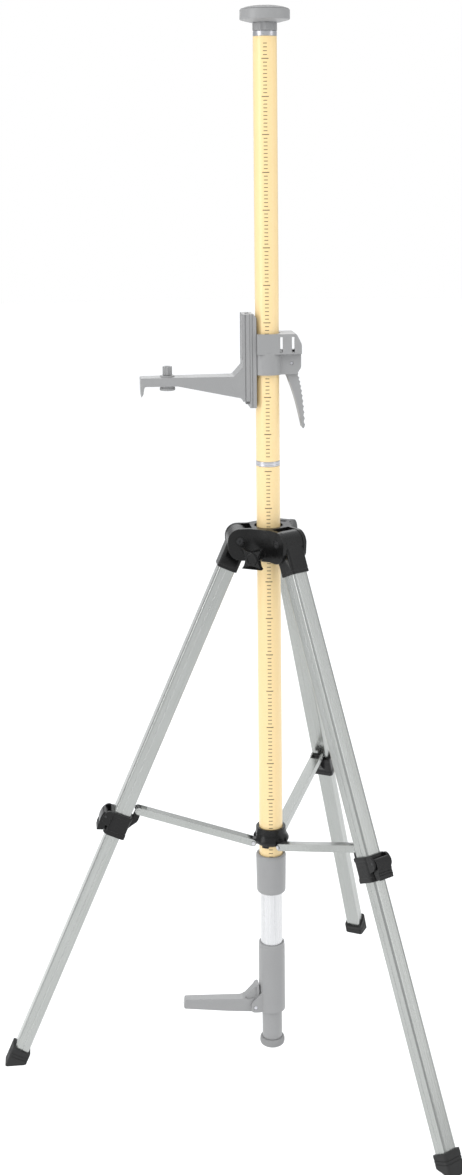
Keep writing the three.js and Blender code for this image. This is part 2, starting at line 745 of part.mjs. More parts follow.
// The lever of the clamp: a round head on the pin and a tapering grip with teeth on its outer edge.
function makeTrigger() {
  const { triggerX, triggerZ, triggerWidth } = bracket;
  const teeth = 10;
  const toothDepth = 2.2;
  const top = new THREE.Vector2(40.5, 930);
  const bend = new THREE.Vector2(48, 905);
  const tip = new THREE.Vector2(49.3, 861);
  const edge = new THREE.QuadraticBezierCurve(tip, bend, top);
  const shape = new THREE.Shape();
  shape.moveTo(25.5, 941);
  shape.lineTo(24.5, 929);
  shape.quadraticCurveTo(37.5, 900, 45.5, 857);
  shape.quadraticCurveTo(47.5, 853.5, tip.x, tip.y);
  for (let i = 0; i < teeth; i += 1) {
    const root = edge.getPoint((i + 0.45) / teeth);
    const crest = edge.getPoint((i + 1) / teeth);
    shape.lineTo(root.x - toothDepth, root.y);
    shape.lineTo(crest.x, crest.y);
  }
  shape.lineTo(39, 941);
  shape.closePath();
  const headBar = barAlongY(8, [-triggerWidth / 2, triggerWidth / 2], [triggerX, triggerZ], ROUND);
  const springRoom = barAlongY(4.8, [triggerWidth / 2 - 4, triggerWidth], [triggerX, triggerZ], ROUND);
  const pinHole = barAlongY(2.3, [-40, 40], [triggerX, triggerZ]);
  return cut(join(cheek(shape, triggerWidth), headBar), springRoom, pinHole);
}

function makeRail() {
  const { railInner, railOuter, railBottom, railTop, railWidth } = bracket;
  const side = outline([
    [railOuter, railBottom], [railInner, railBottom], [railInner, railTop - 5],
    [railInner - 3.5, railTop], [railOuter, railTop],
  ]);
  const dovetail = outline([[railOuter + 1, -4], [-30, -6.5], [-30, 6.5], [railOuter + 1, 4]]);
  const linerRoom = bar(liner.outer + GAP, liner.bottom - GAP, bracket.bodyTop + 1);
  const ridge = plate(dovetail, [railBottom + 4, railTop - 4]);
  return cut(join(cheek(side, railWidth), ridge), linerRoom);
}

function makeInstrumentArm() {
  const { railOuter, slabOuter, slabBottom, railTop, armTip, armTop, armWidth, bossX } = bracket;
  const root = slabOuter + 0.5;
  const slab = block([slabOuter, railOuter - GAP], [-armWidth / 2, armWidth / 2], [slabBottom, railTop]);
  const groove = plate(
    outline([[railOuter + 1, -3.9], [-30.4, -7.1], [-30.4, 7.1], [railOuter + 1, 3.9]]),
    [slabBottom - 1, railTop + 1],
  );
  const beamSide = outline([
    [root, 943], [slabOuter - 12, armTop, 2], [armTip, armTop, 2], [armTip + 0.3, 912],
    [armTip + 1, 903.5], [armTip + 3.5, 907], [armTip + 5.5, 917.5, 2], [-122, 917.5], [root, 899],
  ]);
  const beamPlan = outline([
    [armTip - 1, -12], [root, -armWidth / 2], [root, armWidth / 2], [armTip - 1, 12],
  ]);
  const beam = common(cheek(beamSide, armWidth), plate(beamPlan, [slabBottom, railTop]));
  const underside = cheek(outline([
    [-118, armTop - 3], [slabOuter - 4, armTop - 3], [slabOuter - 4, 885], [-118, 905],
  ]), armWidth - 9);
  const boss = turned([
    [0, armTop - 18], [10.4, armTop - 18], [10.4, armTop - 15], [9.5, armTop - 13.5],
    [9.5, armTop + 2], [0, armTop + 2],
  ], 24).translate(bossX, 0, 0);
  const screwHole = bar(3.5, armTop - 30, armTop + 10, SMALL).translate(bossX, 0, 0);
  return cut(join(cut(slab, groove), cut(beam, underside), boss), screwHole);
}

function makeThumbScrew() {
  const { armTop, bossX } = bracket;
  const grip = plate(flutedOutline(6.3, 5.2, 8), [armTop + 2.5, armTop + 14]);
  return join(grip, bar(3, armTop - 17.5, armTop + 3, SMALL)).translate(bossX, 0, 0);
}

function makeBracket() {
  const { bodyBottom, triggerX, triggerZ, triggerWidth, pinReach } = bracket;
  const padBlock = block([10, 21.4], [-5.5, 5.5], [bodyBottom + 6.3, bodyBottom + 21.7]);
  const pad = cut(padBlock, bar(pole.radius + 0.4, bodyBottom, bodyBottom + 30));
  const pin = barAlongY(2, [-pinReach, pinReach], [triggerX, triggerZ]);
  const springFrom = triggerWidth / 2 - 3.4;
  const spring = coil(3.7, 1, springFrom, springFrom + 2.6, 2)
    .rotateX(-Math.PI / 2).translate(triggerX, 0, triggerZ);
  return [
    piece('bracket_body', makeClampBody(), greyPlastic()),
    piece('bracket_liner', pipe(liner.outer, liner.inner, liner.bottom, liner.top), greyPlastic()),
    piece('bracket_rail', makeRail(), greyPlastic()),
    piece('instrument_arm', makeInstrumentArm(), greyPlastic()),
    piece('thumb_screw', makeThumbScrew(), greyPlastic()),
    piece('clamp_trigger', makeTrigger(), greyPlastic()),
    piece('trigger_pin', pin, steel()),
    piece('jaw_pad', pad, rubber()),
    piece('trigger_spring', spring, steel()),
  ];
}

// ---------------------------------------------------------------- the whole object

const object = new THREE.Group();
object.add(
  ...makePole(),
  ...makeJack(),
  ...makeFootAssembly(),
  ...makeHead(),
  ...legAngles.map(makeLeg),
  ...makeSpreader(),
  ...makeBracket(),
);

export default object;
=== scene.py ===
import json
import math
from math import cos, pi, radians, sin

import bmesh
import bpy
from mathutils import Matrix, Vector


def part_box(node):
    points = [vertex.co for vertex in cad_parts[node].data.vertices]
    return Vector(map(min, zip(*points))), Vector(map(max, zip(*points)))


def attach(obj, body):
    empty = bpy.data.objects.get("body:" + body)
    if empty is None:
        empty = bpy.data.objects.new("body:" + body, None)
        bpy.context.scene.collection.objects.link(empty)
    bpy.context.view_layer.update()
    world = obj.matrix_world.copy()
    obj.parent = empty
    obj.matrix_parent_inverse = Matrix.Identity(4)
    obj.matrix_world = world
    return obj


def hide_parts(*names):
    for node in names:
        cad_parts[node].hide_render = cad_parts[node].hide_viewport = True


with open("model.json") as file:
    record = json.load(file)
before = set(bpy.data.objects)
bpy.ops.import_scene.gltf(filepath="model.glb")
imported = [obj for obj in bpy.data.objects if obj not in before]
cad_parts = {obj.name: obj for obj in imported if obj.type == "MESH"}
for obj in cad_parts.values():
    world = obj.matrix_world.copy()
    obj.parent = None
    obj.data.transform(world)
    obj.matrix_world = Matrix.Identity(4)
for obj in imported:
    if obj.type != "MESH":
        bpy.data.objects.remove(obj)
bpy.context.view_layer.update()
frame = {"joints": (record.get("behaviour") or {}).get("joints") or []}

# ---------------------------------------------------------------- dimensions, in millimetres

MM = 0.001
# The clearance between two pieces that meet.
GAP = 0.3
# Segments round a wide, a middle-sized and a small turned piece.
FINE, ROUND, SMALL = 96, 64, 40
# Steps round each corner of a leg's section.
LEG_CORNER_STEPS = 8
# A crease sharper than this, in degrees, keeps a hard edge in the shading.
SHARP_ANGLE = 38

LEG_ANGLES = (180, 300, 60)
LEG_PIVOT_RADIUS, LEG_PIVOT_HEIGHT = 41.0, 707.5
HEAD_TOP, HEAD_BOTTOM = 724.0, 681.0
BOLT_FACE = 17.4
KNOB_ANGLE, KNOB_HEIGHT, KNOB_FACE, HEAD_WALL = 240, 691.0, 60.0, 31.0
KNOB_BOSS_FACE = HEAD_WALL + 4.5
UPPER_TUBE = {"depth": 23.0, "width": 24.0, "wall": 1.3, "start": 22.0, "end": 414.0}
LOWER_TUBE = {"depth": 19.6, "width": 20.6, "wall": 1.2, "start": 345.0, "end": 760.0}
KNUCKLE_END = 43.0
CLAMP_START, CLAMP_END = 403.0, 434.0
LEVER_PIN_X, LEVER_PIN_AT, LEVER_WIDTH = 20.5, 412.0, 22.0
EAR_X, EAR_AT = -19.5, 393.0
BOOT_TOP = 751.0
HUB_TOP, HUB_BOTTOM, HUB_PIVOT_RADIUS, HUB_PIVOT_HEIGHT = 308.0, 285.0, 25.0, 287.0
ARM_WIDTH, ARM_HEIGHT, ARM_WALL, ARM_TONGUE = 15.0, 9.0, 1.3, 9.0
POLE_RADIUS, POLE_BORE, POLE_ROOM = 16.0, 15.3, 16.4
LINER_OUTER, LINER_INNER, LINER_ROOM_LOW = 17.6, 16.3, 961.7
FOOT_BORE, PEDAL_PIN_X, PEDAL_PIN_Z = 13.8, -24.0, 57.0
BOSS_X = -134.5
TRIGGER_X, TRIGGER_Z, TRIGGER_WIDTH = 31.0, 945.0, 20.0
BODY_LOW, BODY_HIGH, BODY_OUTER = 930.0, 985.0, 44.0

joints = {joint["name"]: joint for joint in frame["joints"]}
leg_lean = math.acos(joints["leg1_extend"]["axis"][2])
leg_length = LEG_PIVOT_HEIGHT / cos(leg_lean)


def span(node):
    """The lowest and highest point of a CAD node, in millimetres."""
    low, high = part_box(node)
    return low.z / MM, high.z / MM


def leg_place(index):
    """From a leg's own axes, with -Z running down the leg, to the part's."""
    low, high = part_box(f"leg{index + 1}_pivot_bolt")
    pivot = (low + high) / 2 / MM
    return (
        Matrix.Translation(pivot)
        @ Matrix.Rotation(math.atan2(pivot.y, pivot.x), 4, "Z")
        @ Matrix.Rotation(-leg_lean, 4, "Y")
    )


def spin(degrees):
    """A turn about the pole."""
    return Matrix.Rotation(radians(degrees), 4, "Z")


# ---------------------------------------------------------------- solids


def rounded(points, steps=5):
    """A closed outline from (x, y, corner size) points, with its corners rounded."""
    result = []
    for i, (x, y, *size) in enumerate(points):
        corner = Vector((x, y))
        back = Vector(points[i - 1][:2]) - corner
        ahead = Vector(points[(i + 1) % len(points)][:2]) - corner
        reach = min(size[0] if size else 0, 0.48 * back.length, 0.48 * ahead.length)
        if reach <= 0:
            result.append(corner)
            continue
        start = corner + back.normalized() * reach
        end = corner + ahead.normalized() * reach
        for k in range(steps + 1):
            t = k / steps
            result.append((1 - t) ** 2 * start + 2 * t * (1 - t) * corner + t * t * end)
    return result


def solid(bm):
    """A new object from a bmesh, with its faces pointing out."""
    bmesh.ops.recalc_face_normals(bm, faces=bm.faces)
    mesh = bpy.data.meshes.new("solid")
    bm.to_mesh(mesh)
    bm.free()
    obj = bpy.data.objects.new("solid", mesh)
    bpy.context.scene.collection.objects.link(obj)
    return obj


def moved(obj, matrix):
    """The same object with its mesh, not its place, transformed."""
    obj.data.transform(matrix)
    return obj


def prism(outline, low, high, edge=0.0):
    """An XY outline raised between two heights, with the rims of both ends rounded."""
    bm = bmesh.new()
    bottom = [bm.verts.new((p[0], p[1], low)) for p in outline]
    top = [bm.verts.new((p[0], p[1], high)) for p in outline]
    bm.faces.new(list(reversed(bottom)))
    bm.faces.new(top)
    for i in range(len(outline)):
        k = (i + 1) % len(outline)
        bm.faces.new((bottom[i], bottom[k], top[k], top[i]))
    if edge:
        rims = [e for e in bm.edges if abs(e.verts[0].co.z - e.verts[1].co.z) < 1e-6]
        bmesh.ops.bevel(
            bm, geom=rims, offset=edge, segments=3, profile=0.5, affect="EDGES", clamp_overlap=False
        )
    return solid(bm)


def side(outline, width, y=0.0, edge=0.0):
    """An XZ outline given a thickness along Y."""
    flat = prism(outline, -width / 2, width / 2, edge)
    return moved(flat, Matrix.Translation((0, y, 0)) @ Matrix.Rotation(pi / 2, 4, "X"))


def block(x, y, z, edge=0.0):
    """A box from its (low, high) range on each axis."""
    outline = [(x[0], y[0]), (x[1], y[0]), (x[1], y[1]), (x[0], y[1])]
    return prism(outline, z[0], z[1], edge)


def turned(profile, segments=FINE, steps=3):
    """A solid of revolution about Z from a closed (radius, height, corner size) profile."""
    bm = bmesh.new()
    rings = []
    for radius, height in rounded(profile, steps):
        if radius < 1e-6:
            rings.append([bm.verts.new((0, 0, height))] * segments)
            continue
        angles = [2 * pi * k / segments for k in range(segments)]
        rings.append([bm.verts.new((radius * cos(a), radius * sin(a), height)) for a in angles])
    for ring, following in zip(rings, rings[1:] + rings[:1]):
        for k in range(segments):
            n = (k + 1) % segments
            corners = list(dict.fromkeys((ring[k], ring[n], following[n], following[k])))
            if len(corners) > 2:
                bm.faces.new(corners)
    return solid(bm)


def pipe(outer, inner, low, high, edge=0.3):
    return turned([(inner, low, edge), (outer, low, edge), (outer, high, edge), (inner, high, edge)])


def bar(radius, low, high, edge=0.0, segments=FINE):
    return turned([(0, low), (radius, low, edge), (radius, high, edge), (0, high)], segments)


def bar_x(radius, x, z, edge=0.0):
    """A round bar along X, at the height z."""
    turn = Matrix.Translation((0, 0, z)) @ Matrix.Rotation(pi / 2, 4, "Y")
    return moved(bar(radius, x[0], x[1], edge, SMALL), turn)


def bar_y(radius, x, y, z, edge=0.0, segments=SMALL):
    """A round bar along Y, through the point (x, z)."""
    turn = Matrix.Translation((x, 0, z)) @ Matrix.Rotation(-pi / 2, 4, "X")
    return moved(bar(radius, y[0], y[1], edge, segments), turn)


def combined(base, others, operation):
    """The base after a boolean with each of the others, which are used up."""
    for other in others:
        modifier = base.modifiers.new("combine", "BOOLEAN")
        modifier.operation = operation
        modifier.solver = "MANIFOLD"
        modifier.object = other
    evaluated = base.evaluated_get(bpy.context.evaluated_depsgraph_get())
    mesh = bpy.data.meshes.new_from_object(evaluated)
    base.modifiers.clear()
    base.data = mesh
    for other in others:
        bpy.data.objects.remove(other)
    return base


def join(base, *others):
    return combined(base, others, "UNION")


def cut(base, *tools):
    return combined(base, tools, "DIFFERENCE")


def common(base, *others):
    return combined(base, others, "INTERSECT")


def coil(radius, wire, low, high, turns):
    """A round wire wound about Z, with flat ends."""
    bm = bmesh.new()
    rings = []
    around = 10
    steps = int(turns * 32)
    for i in range(steps + 1):
        angle = 2 * pi * turns * i / steps
        height = low + (high - low) * i / steps
        ring = []
        for k in range(around):
            a = 2 * pi * k / around
            reach = radius + wire / 2 * cos(a)
            ring.append(bm.verts.new((reach * cos(angle), reach * sin(angle), height + wire / 2 * sin(a))))
        rings.append(ring)
    for ring, following in zip(rings, rings[1:]):
        for k in range(around):
            n = (k + 1) % around
            bm.faces.new((ring[k], ring[n], following[n], following[k]))
    bm.faces.new(rings[0])
    bm.faces.new(rings[-1])
    return solid(bm)


# ---------------------------------------------------------------- materials


def node(tree, kind, **settings):
    """A shader node; a setting called in_Scale goes to its input Scale."""
    made = tree.nodes.new(kind)
    for name, value in settings.items():
        if name.startswith("in_"):
            made.inputs[name[3:].replace("_", " ")].default_value = value
        else:
            setattr(made, name, value)
    return made


def noise(tree, vector, scale, detail=3.0):
    texture = node(tree, "ShaderNodeTexNoise", in_Scale=scale, in_Detail=detail)
    tree.links.new(vector, texture.inputs["Vector"])
    return texture.outputs["Fac"]


def ramp(tree, value, low, high):
    """value, moved from 0.3..0.7 to low..high."""
    spread = node(tree, "ShaderNodeMapRange")
    spread.inputs["From Min"].default_value = 0.3
    spread.inputs["From Max"].default_value = 0.7
    spread.inputs["To Min"].default_value = low
    spread.inputs["To Max"].default_value = high
    tree.links.new(value, spread.inputs["Value"])
    return spread.outputs["Result"]


def mixed(tree, factor, first, second):
    """A mix of two colours, each of them a tuple or another node's output."""
    mix = node(tree, "ShaderNodeMix", data_type="RGBA")
    tree.links.new(factor, mix.inputs["Factor"])
    for value, socket in ((first, mix.inputs[6]), (second, mix.inputs[7])):
        if isinstance(value, tuple):
            socket.default_value = (*value, 1)
        else:
            tree.links.new(value, socket)
    return mix.outputs[2]


def edge_mask(tree, radius, strength):
    """1 on a rounded or sharp edge and 0 on a flat, from a widened normal."""
    bevel = node(tree, "ShaderNodeBevel", samples=4, in_Radius=radius)
    geometry = node(tree, "ShaderNodeNewGeometry")
    dot = node(tree, "ShaderNodeVectorMath", operation="DOT_PRODUCT")
    tree.links.new(bevel.outputs["Normal"], dot.inputs[0])
    tree.links.new(geometry.outputs["Normal"], dot.inputs[1])
    mask = node(tree, "ShaderNodeMapRange")
    mask.inputs["From Min"].default_value = 0.995
    mask.inputs["From Max"].default_value = 0.8
    mask.inputs["To Max"].default_value = strength
    tree.links.new(dot.outputs["Value"], mask.inputs["Value"])
    return bevel.outputs["Normal"], mask.outputs["Result"]


def surface(name, tone, shade, edge, rough, *, metal=0.0, grain=(1, 1, 1), grain_scale=900.0,
            bump=0.05, patch_scale=25.0, edge_radius=0.0006, wear_and_highlight=0.35, coat=0.0, specular=0.5):
    """A material whose colour, gloss and bump vary over the piece's own coordinates, and whose edges take a
    lighter colour that is partly wear and partly a painted highlight.
    """
    material = bpy.data.materials.new(name)
    material.use_nodes = True
    tree = material.node_tree
    shader = tree.nodes["Principled BSDF"]
    shader.inputs["Metallic"].default_value = metal
    shader.inputs["Coat Weight"].default_value = coat
    shader.inputs["Coat Roughness"].default_value = 0.15
    shader.inputs["Specular IOR Level"].default_value = specular
    place = node(tree, "ShaderNodeAttribute", attribute_name="local")
    scaled = node(tree, "ShaderNodeMapping", in_Scale=grain)
    tree.links.new(place.outputs["Vector"], scaled.inputs["Vector"])
    fine = noise(tree, scaled.outputs["Vector"], grain_scale, 4.0)
    broad = noise(tree, place.outputs["Vector"], patch_scale, 2.0)
    rounded_normal, on_edge = edge_mask(tree, edge_radius, wear_and_highlight)
    flecked = mixed(tree, ramp(tree, fine, 0.0, 1.0), tone, shade)
    clouded = mixed(tree, ramp(tree, broad, 0.0, 0.5), flecked, shade)
    # Edges take the edge colour: partly wear, partly a painted highlight along them.
    worn_and_highlit = mixed(tree, on_edge, clouded, edge)
    tree.links.new(worn_and_highlit, shader.inputs["Base Color"])
    tree.links.new(ramp(tree, fine, rough[0], rough[1]), shader.inputs["Roughness"])
    relief = node(tree, "ShaderNodeBump", in_Strength=bump, in_Distance=0.0003)
    tree.links.new(fine, relief.inputs["Height"])
    tree.links.new(rounded_normal, relief.inputs["Normal"])
    tree.links.new(relief.outputs["Normal"], shader.inputs["Normal"])
    return material


# Each finish's third colour goes on its edges. It is lighter than the tones, partly as wear and partly as a
# painted highlight.
materials = {
    "yellow_paint": surface(
        "yellow_lacquer", (0.89, 0.68, 0.36), (0.87, 0.65, 0.32), (0.92, 0.75, 0.48), (0.30, 0.42),
        grain_scale=500, bump=0.06, patch_scale=9, wear_and_highlight=0.25, coat=0.35,
    ),
    "grey_plastic": surface(
        "grey_moulding", (0.305, 0.305, 0.306), (0.28, 0.28, 0.281), (0.44, 0.44, 0.44), (0.32, 0.45),
        grain_scale=1400, bump=0.15, patch_scale=30, wear_and_highlight=0.5,
    ),
    "black_plastic": surface(
        "black_moulding", (0.005, 0.005, 0.005), (0.008, 0.008, 0.008), (0.09, 0.09, 0.092), (0.22, 0.34),
        grain_scale=1300, bump=0.15, patch_scale=30, wear_and_highlight=0.7, specular=0.26,
    ),
    # The near-white edge colour of the legs and arms is mostly a painted highlight stripe along their rounded
    # edges, with some wear.
    "leg_aluminium": surface(
        "leg_extrusion", (0.43, 0.44, 0.43), (0.37, 0.38, 0.365), (0.90, 0.90, 0.90), (0.20, 0.30),
        metal=0.9, grain=(1, 1, 0.004), grain_scale=1500, bump=0.06, patch_scale=18, wear_and_highlight=0.6,
    ),
    "tube_aluminium": surface(
        "drawn_tube", (0.68, 0.68, 0.685), (0.62, 0.62, 0.63), (0.90, 0.90, 0.90), (0.2, 0.34),
        metal=0.75, grain=(1, 1, 0.002), grain_scale=1400, bump=0.03, patch_scale=14, wear_and_highlight=0.3,
    ),
    "steel": surface(
        "zinc_plate", (0.62, 0.62, 0.64), (0.54, 0.54, 0.57), (0.8, 0.8, 0.8), (0.25, 0.42),
        metal=1.0, grain_scale=700, bump=0.08, patch_scale=60, wear_and_highlight=0.5,
    ),
    "black_steel": surface(
        "blackened_steel", (0.012, 0.012, 0.013), (0.02, 0.02, 0.021), (0.08, 0.08, 0.085), (0.35, 0.5),
        grain_scale=900, bump=0.1, patch_scale=60, wear_and_highlight=0.5,
    ),
    "black_rubber": surface(
        "black_rubber", (0.013, 0.013, 0.013), (0.022, 0.022, 0.022), (0.045, 0.045, 0.045), (0.6, 0.8),
        grain_scale=900, bump=0.4, patch_scale=40, wear_and_highlight=0.4, specular=0.35,
    ),
    "grey_rubber": surface(
        "grey_rubber", (0.28, 0.28, 0.28), (0.25, 0.25, 0.25), (0.35, 0.35, 0.35), (0.65, 0.85),
        grain_scale=900, bump=0.4, patch_scale=40, wear_and_highlight=0.4, specular=0.35,
    ),
}
ink = surface(
    "scale_ink", (0.14, 0.11, 0.06), (0.18, 0.14, 0.08), (0.26, 0.21, 0.12), (0.5, 0.7),
    grain_scale=800, bump=0.05, patch_scale=60, wear_and_highlight=0.2,
)


# ---------------------------------------------------------------- pieces


def show(name, shape, body, slot, *nodes, place=None, material=None):
    """Gives a solid in millimetres its place, finish and body, in the part's own metres."""
    bm = bmesh.new()
    bm.from_mesh(shape.data)
    bpy.data.objects.remove(shape)
    bmesh.ops.remove_doubles(bm, verts=bm.verts, dist=0.003)
    bmesh.ops.dissolve_limit(bm, angle_limit=radians(0.4), verts=bm.verts, edges=bm.edges)
    bmesh.ops.recalc_face_normals(bm, faces=bm.faces)
    local = bm.verts.layers.float_vector.new("local")
    place = place or Matrix()
    for vertex in bm.verts:
        vertex[local] = vertex.co * MM
        vertex.co = (place @ vertex.co) * MM
    for face in bm.faces:
        face.smooth = True
    for edge in bm.edges:
        edge.smooth = edge.is_manifold and edge.calc_face_angle() < radians(SHARP_ANGLE)
    mesh = bpy.data.meshes.new(name)
    bm.to_mesh(mesh)
    bm.free()
    piece = bpy.data.objects.new(name, mesh)
    bpy.context.scene.collection.objects.link(piece)
    mesh.materials.append(material or materials[slot])
    weighted = piece.modifiers.new("weighted_normals", "WEIGHTED_NORMAL")
    weighted.keep_sharp = True
    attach(piece, body)
    if nodes:
        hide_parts(*nodes)
    return piece


def stand_in(node_name, shape, body, slot, place=None):
    """A detailed piece shown in place of one CAD node."""
    return show(f"{node_name}_look", shape, body, slot, node_name, place=place)


# ---------------------------------------------------------------- pole

SCALE_ANGLE = 262.5
SCALE_STEP, SCALE_LONG_EVERY = 5, 50


def scale_marks(low, high):
    """Printed graduations: thin curved strips that stand a hair proud of the tube."""
    bm = bmesh.new()
    inner, outer = 15.9, 16.04
    steps = 6
    for height in range(math.ceil(low / SCALE_STEP) * SCALE_STEP, int(high), SCALE_STEP):
        long_mark = height % SCALE_LONG_EVERY == 0
        half_angle = (4.7 if long_mark else 2.6) / POLE_RADIUS
        half = 0.65 if long_mark else 0.55
        section = ((inner, -half), (outer, -half), (outer, half), (inner, half))
        columns = []
        for k in range(steps + 1):
            a = radians(SCALE_ANGLE) + half_angle * (2 * k / steps - 1)
            columns.append([bm.verts.new((r * cos(a), r * sin(a), height + z)) for r, z in section])
        for column, following in zip(columns, columns[1:]):
            for k in range(4):
                n = (k + 1) % 4
                bm.faces.new((column[k], column[n], following[n], following[k]))
        bm.faces.new(columns[0])
        bm.faces.new(columns[-1])
    return solid(bm)


def make_pole():
    low, joint_low = span("lower_pole_tube")
    joint_high, high = span("upper_pole_tube")
    stand_in("lower_pole_tube", pipe(POLE_RADIUS, POLE_BORE, low, joint_low), "pole", "yellow_paint")
    stand_in("upper_pole_tube", pipe(POLE_RADIUS, POLE_BORE, joint_high, high), "pole", "yellow_paint")
    show("lower_scale_marks", scale_marks(low + 6, joint_low - 4), "pole", "yellow_paint", material=ink)
    show("upper_scale_marks", scale_marks(joint_high + 4, high - 6), "pole", "yellow_paint", material=ink)
    first, last = span("pole_coupler")
    band_low, band_high = joint_low + GAP, joint_high - GAP
    coupler = turned([
        (12.5, first, 0.6), (15, first, 0.6), (15, band_low), (16, band_low, 0.5),
        (16, band_low + 2.3, 0.3), (15.7, band_low + 2.8, 0.2), (16, band_low + 3.3, 0.3),
        (16, band_high, 0.5), (15, band_high), (15, last, 0.6), (12.5, last, 0.6),
    ])
    stand_in("pole_coupler", coupler, "pole", "steel")
    bush_low, bush_high = span("top_bush")
    bush = turned([
        (6.5, bush_low, 0.4), (15, bush_low, 0.4), (15, high + GAP), (16, high + GAP, 0.5),
        (16, bush_high, 0.8), (6.5, bush_high, 0.5),
    ])
    stand_in("top_bush", bush, "pole", "steel")
    ring_low, ring_high = span("collet_ring")
    stand_in("collet_ring", pipe(18.2, 15.3, ring_low, ring_high, 0.4), "pole", "grey_plastic")


# ---------------------------------------------------------------- ceiling jack


def fluted(outer, inner, flutes, per_flute=8):
    """A round outline with evenly spaced hollows."""
    points = []
    for i in range(flutes * per_flute):
        angle = 2 * pi * i / (flutes * per_flute)
        radius = outer - (outer - inner) * (0.5 - 0.5 * cos(flutes * angle))
        points.append((radius * cos(angle), radius * sin(angle)))
    return points


def make_jack():
    nut_low, nut_high = span("jack_nut")
    rod_low, rod_high = span("jack_rod")
    disc_low, disc_high = span("ceiling_disc")
    pad_low, pad_high = span("ceiling_pad")
    nut = cut(prism(fluted(16.5, 15.3, 12), nut_low, nut_high, 0.7), bar(6.4, nut_low - 1, nut_high + 1))
    stand_in("jack_nut", nut, "jack_nut", "grey_plastic")
    stand_in("jack_rod", bar(6, rod_low, rod_high, 0.6, ROUND), "jack_rod", "steel")
    disc = turned([
        (6.4, disc_low), (20, disc_low, 1), (32.7, disc_low + 3.2, 0.8), (33.5, disc_low + 4.4, 0.6),
        (33.5, disc_high, 0.9), (0, disc_high), (0, rod_high + GAP), (6.4, rod_high + GAP),
    ])
    stand_in("ceiling_disc", disc, "ceiling_disc", "grey_plastic")
    pad = turned([
        (0, pad_low), (32.5, pad_low, 0.2), (31.7, pad_high - 3.8, 0.4), (25, pad_high - 1.4, 3),
        (16, pad_high, 1.2), (12.4, pad_high, 0.2), (12, pad_high - 0.6, 0.2), (11, pad_high - 0.6, 0.2),
        (10.6, pad_high, 0.2), (0, pad_high),
    ])
    stand_in("ceiling_pad", pad, "ceiling_disc", "grey_rubber")


# ---------------------------------------------------------------- bottom of the pole


def twist_collar():
    low, high = span("twist_collar")
    tube_bore, ring_room = 15.4, 18.6
    room_low, room_high, cone_top = 221, 229, 230
    return turned([
        (tube_bore, low, 0.3), (19.0, low, 1.2), (19.7, low + 2.4, 1.0), (20.5, high - 2.4, 1.2),
        (19.5, high, 0.8), (POLE_ROOM, high, 0.5), (POLE_ROOM, cone_top), (ring_room, room_high),
        (ring_room, room_low), (tube_bore, room_low),
    ])


def foot_sleeve():
    low, high = span("foot_sleeve")
    tube_room, tube_seat = 15.3, 96.7
    shell = turned([
        (FOOT_BORE, low, 0.3), (18, low, 0.8), (18, high - 5, 0.4), (17.6, high - 4.4, 0.4),
        (17.6, high, 1.0), (tube_room, high, 0.4), (tube_room, tube_seat), (FOOT_BORE, tube_seat),
    ])
    lug = rounded([(-12, low), (-22, 50, 4), (-30, 51, 5), (-30, 63, 5), (-12, low + 30)])
    lugs = [side(lug, 3, y, 0.5) for y in (-9.8, 9.8)]
    room = bar(FOOT_BORE, 36, tube_seat)
    hole = bar_y(2.8, PEDAL_PIN_X, (-20, 20), PEDAL_PIN_Z)
    return cut(join(shell, *lugs), room, hole)


def foot_pedal():
    tip = -122.5
    outline = rounded([
        (tip, 60, 3), (tip + 2, 72.5, 3), (-41, 68.5, 4), (-22, 87, 2), (-18.7, 87, 0.6),
        (-18.7, 61), (-16.8, 60), (-16.8, 49.5, 1), (-60, 53, 6),
    ])
    plan = rounded([(tip - 1, -6, 4), (-14, -8), (-14, 8), (tip - 1, 6, 4)])
    lever = common(side(outline, 16, 0, 1.0), prism(plan, 40, 100))
    hollow = rounded([(tip + 5, 50, 2), (-36, 45, 2), (-36, 64.5, 3), (tip + 5, 68.5, 2)])
    web_sides = [side(hollow, 4.0, y, 0.6) for y in (-3.2, 3.2)]
    flank = rounded([(-39, 71, 2), (-25, 84.5, 2), (-21.8, 84, 1), (-21.8, 70, 2), (-33, 67.5, 3)])
    flanks = [side(flank, 4.5, y, 0.6) for y in (-8.2, 8.2)]
    return cut(lever, *web_sides, *flanks, bar_y(2.8, PEDAL_PIN_X, (-20, 20), PEDAL_PIN_Z))


def make_foot():
    stand_in("twist_collar", twist_collar(), "twist_collar", "grey_plastic")
    low, high = span("inner_tube")
    stop_low, stop_high = 145, 148
    tube = turned([
        (FOOT_BORE, low, 0.2), (15, low, 0.4), (15, high, 0.4), (FOOT_BORE, high, 0.2),
        (FOOT_BORE, stop_high), (0, stop_high), (0, stop_low), (FOOT_BORE, stop_low),
    ])
    stand_in("inner_tube", tube, "inner_tube", "tube_aluminium")
    stand_in("foot_sleeve", foot_sleeve(), "inner_tube", "grey_plastic")
    stand_in("foot_pedal", foot_pedal(), "foot_pedal", "grey_plastic")
    pedal_pin = bar_y(2.5, PEDAL_PIN_X, (-11.3, 11.3), PEDAL_PIN_Z, 0.5)
    stand_in("pedal_pin", pedal_pin, "inner_tube", "steel")
    tube_low, tube_high = span("foot_tube")
    stand_in("foot_tube", pipe(13.5, 12, tube_low, tube_high), "foot", "grey_plastic")
    pad_top, plug_radius, plug_top = 11.0, 11.7, 31
    pad = turned([
        (0, 0), (13.2, 0, 1.2), (16.2, 2.0, 1.5), (17, 6, 1.5), (16.4, 9.8, 0.8), (15.2, pad_top, 0.6),
        (plug_radius, pad_top), (plug_radius, plug_top, 0.5), (0, plug_top),
    ])
    stand_in("foot_pad", pad, "foot", "grey_rubber")
    spring = coil(radius=9, wire=2, low=117, high=143, turns=4)
    stand_in("foot_spring", spring, "inner_tube", "steel")


# ---------------------------------------------------------------- tripod head


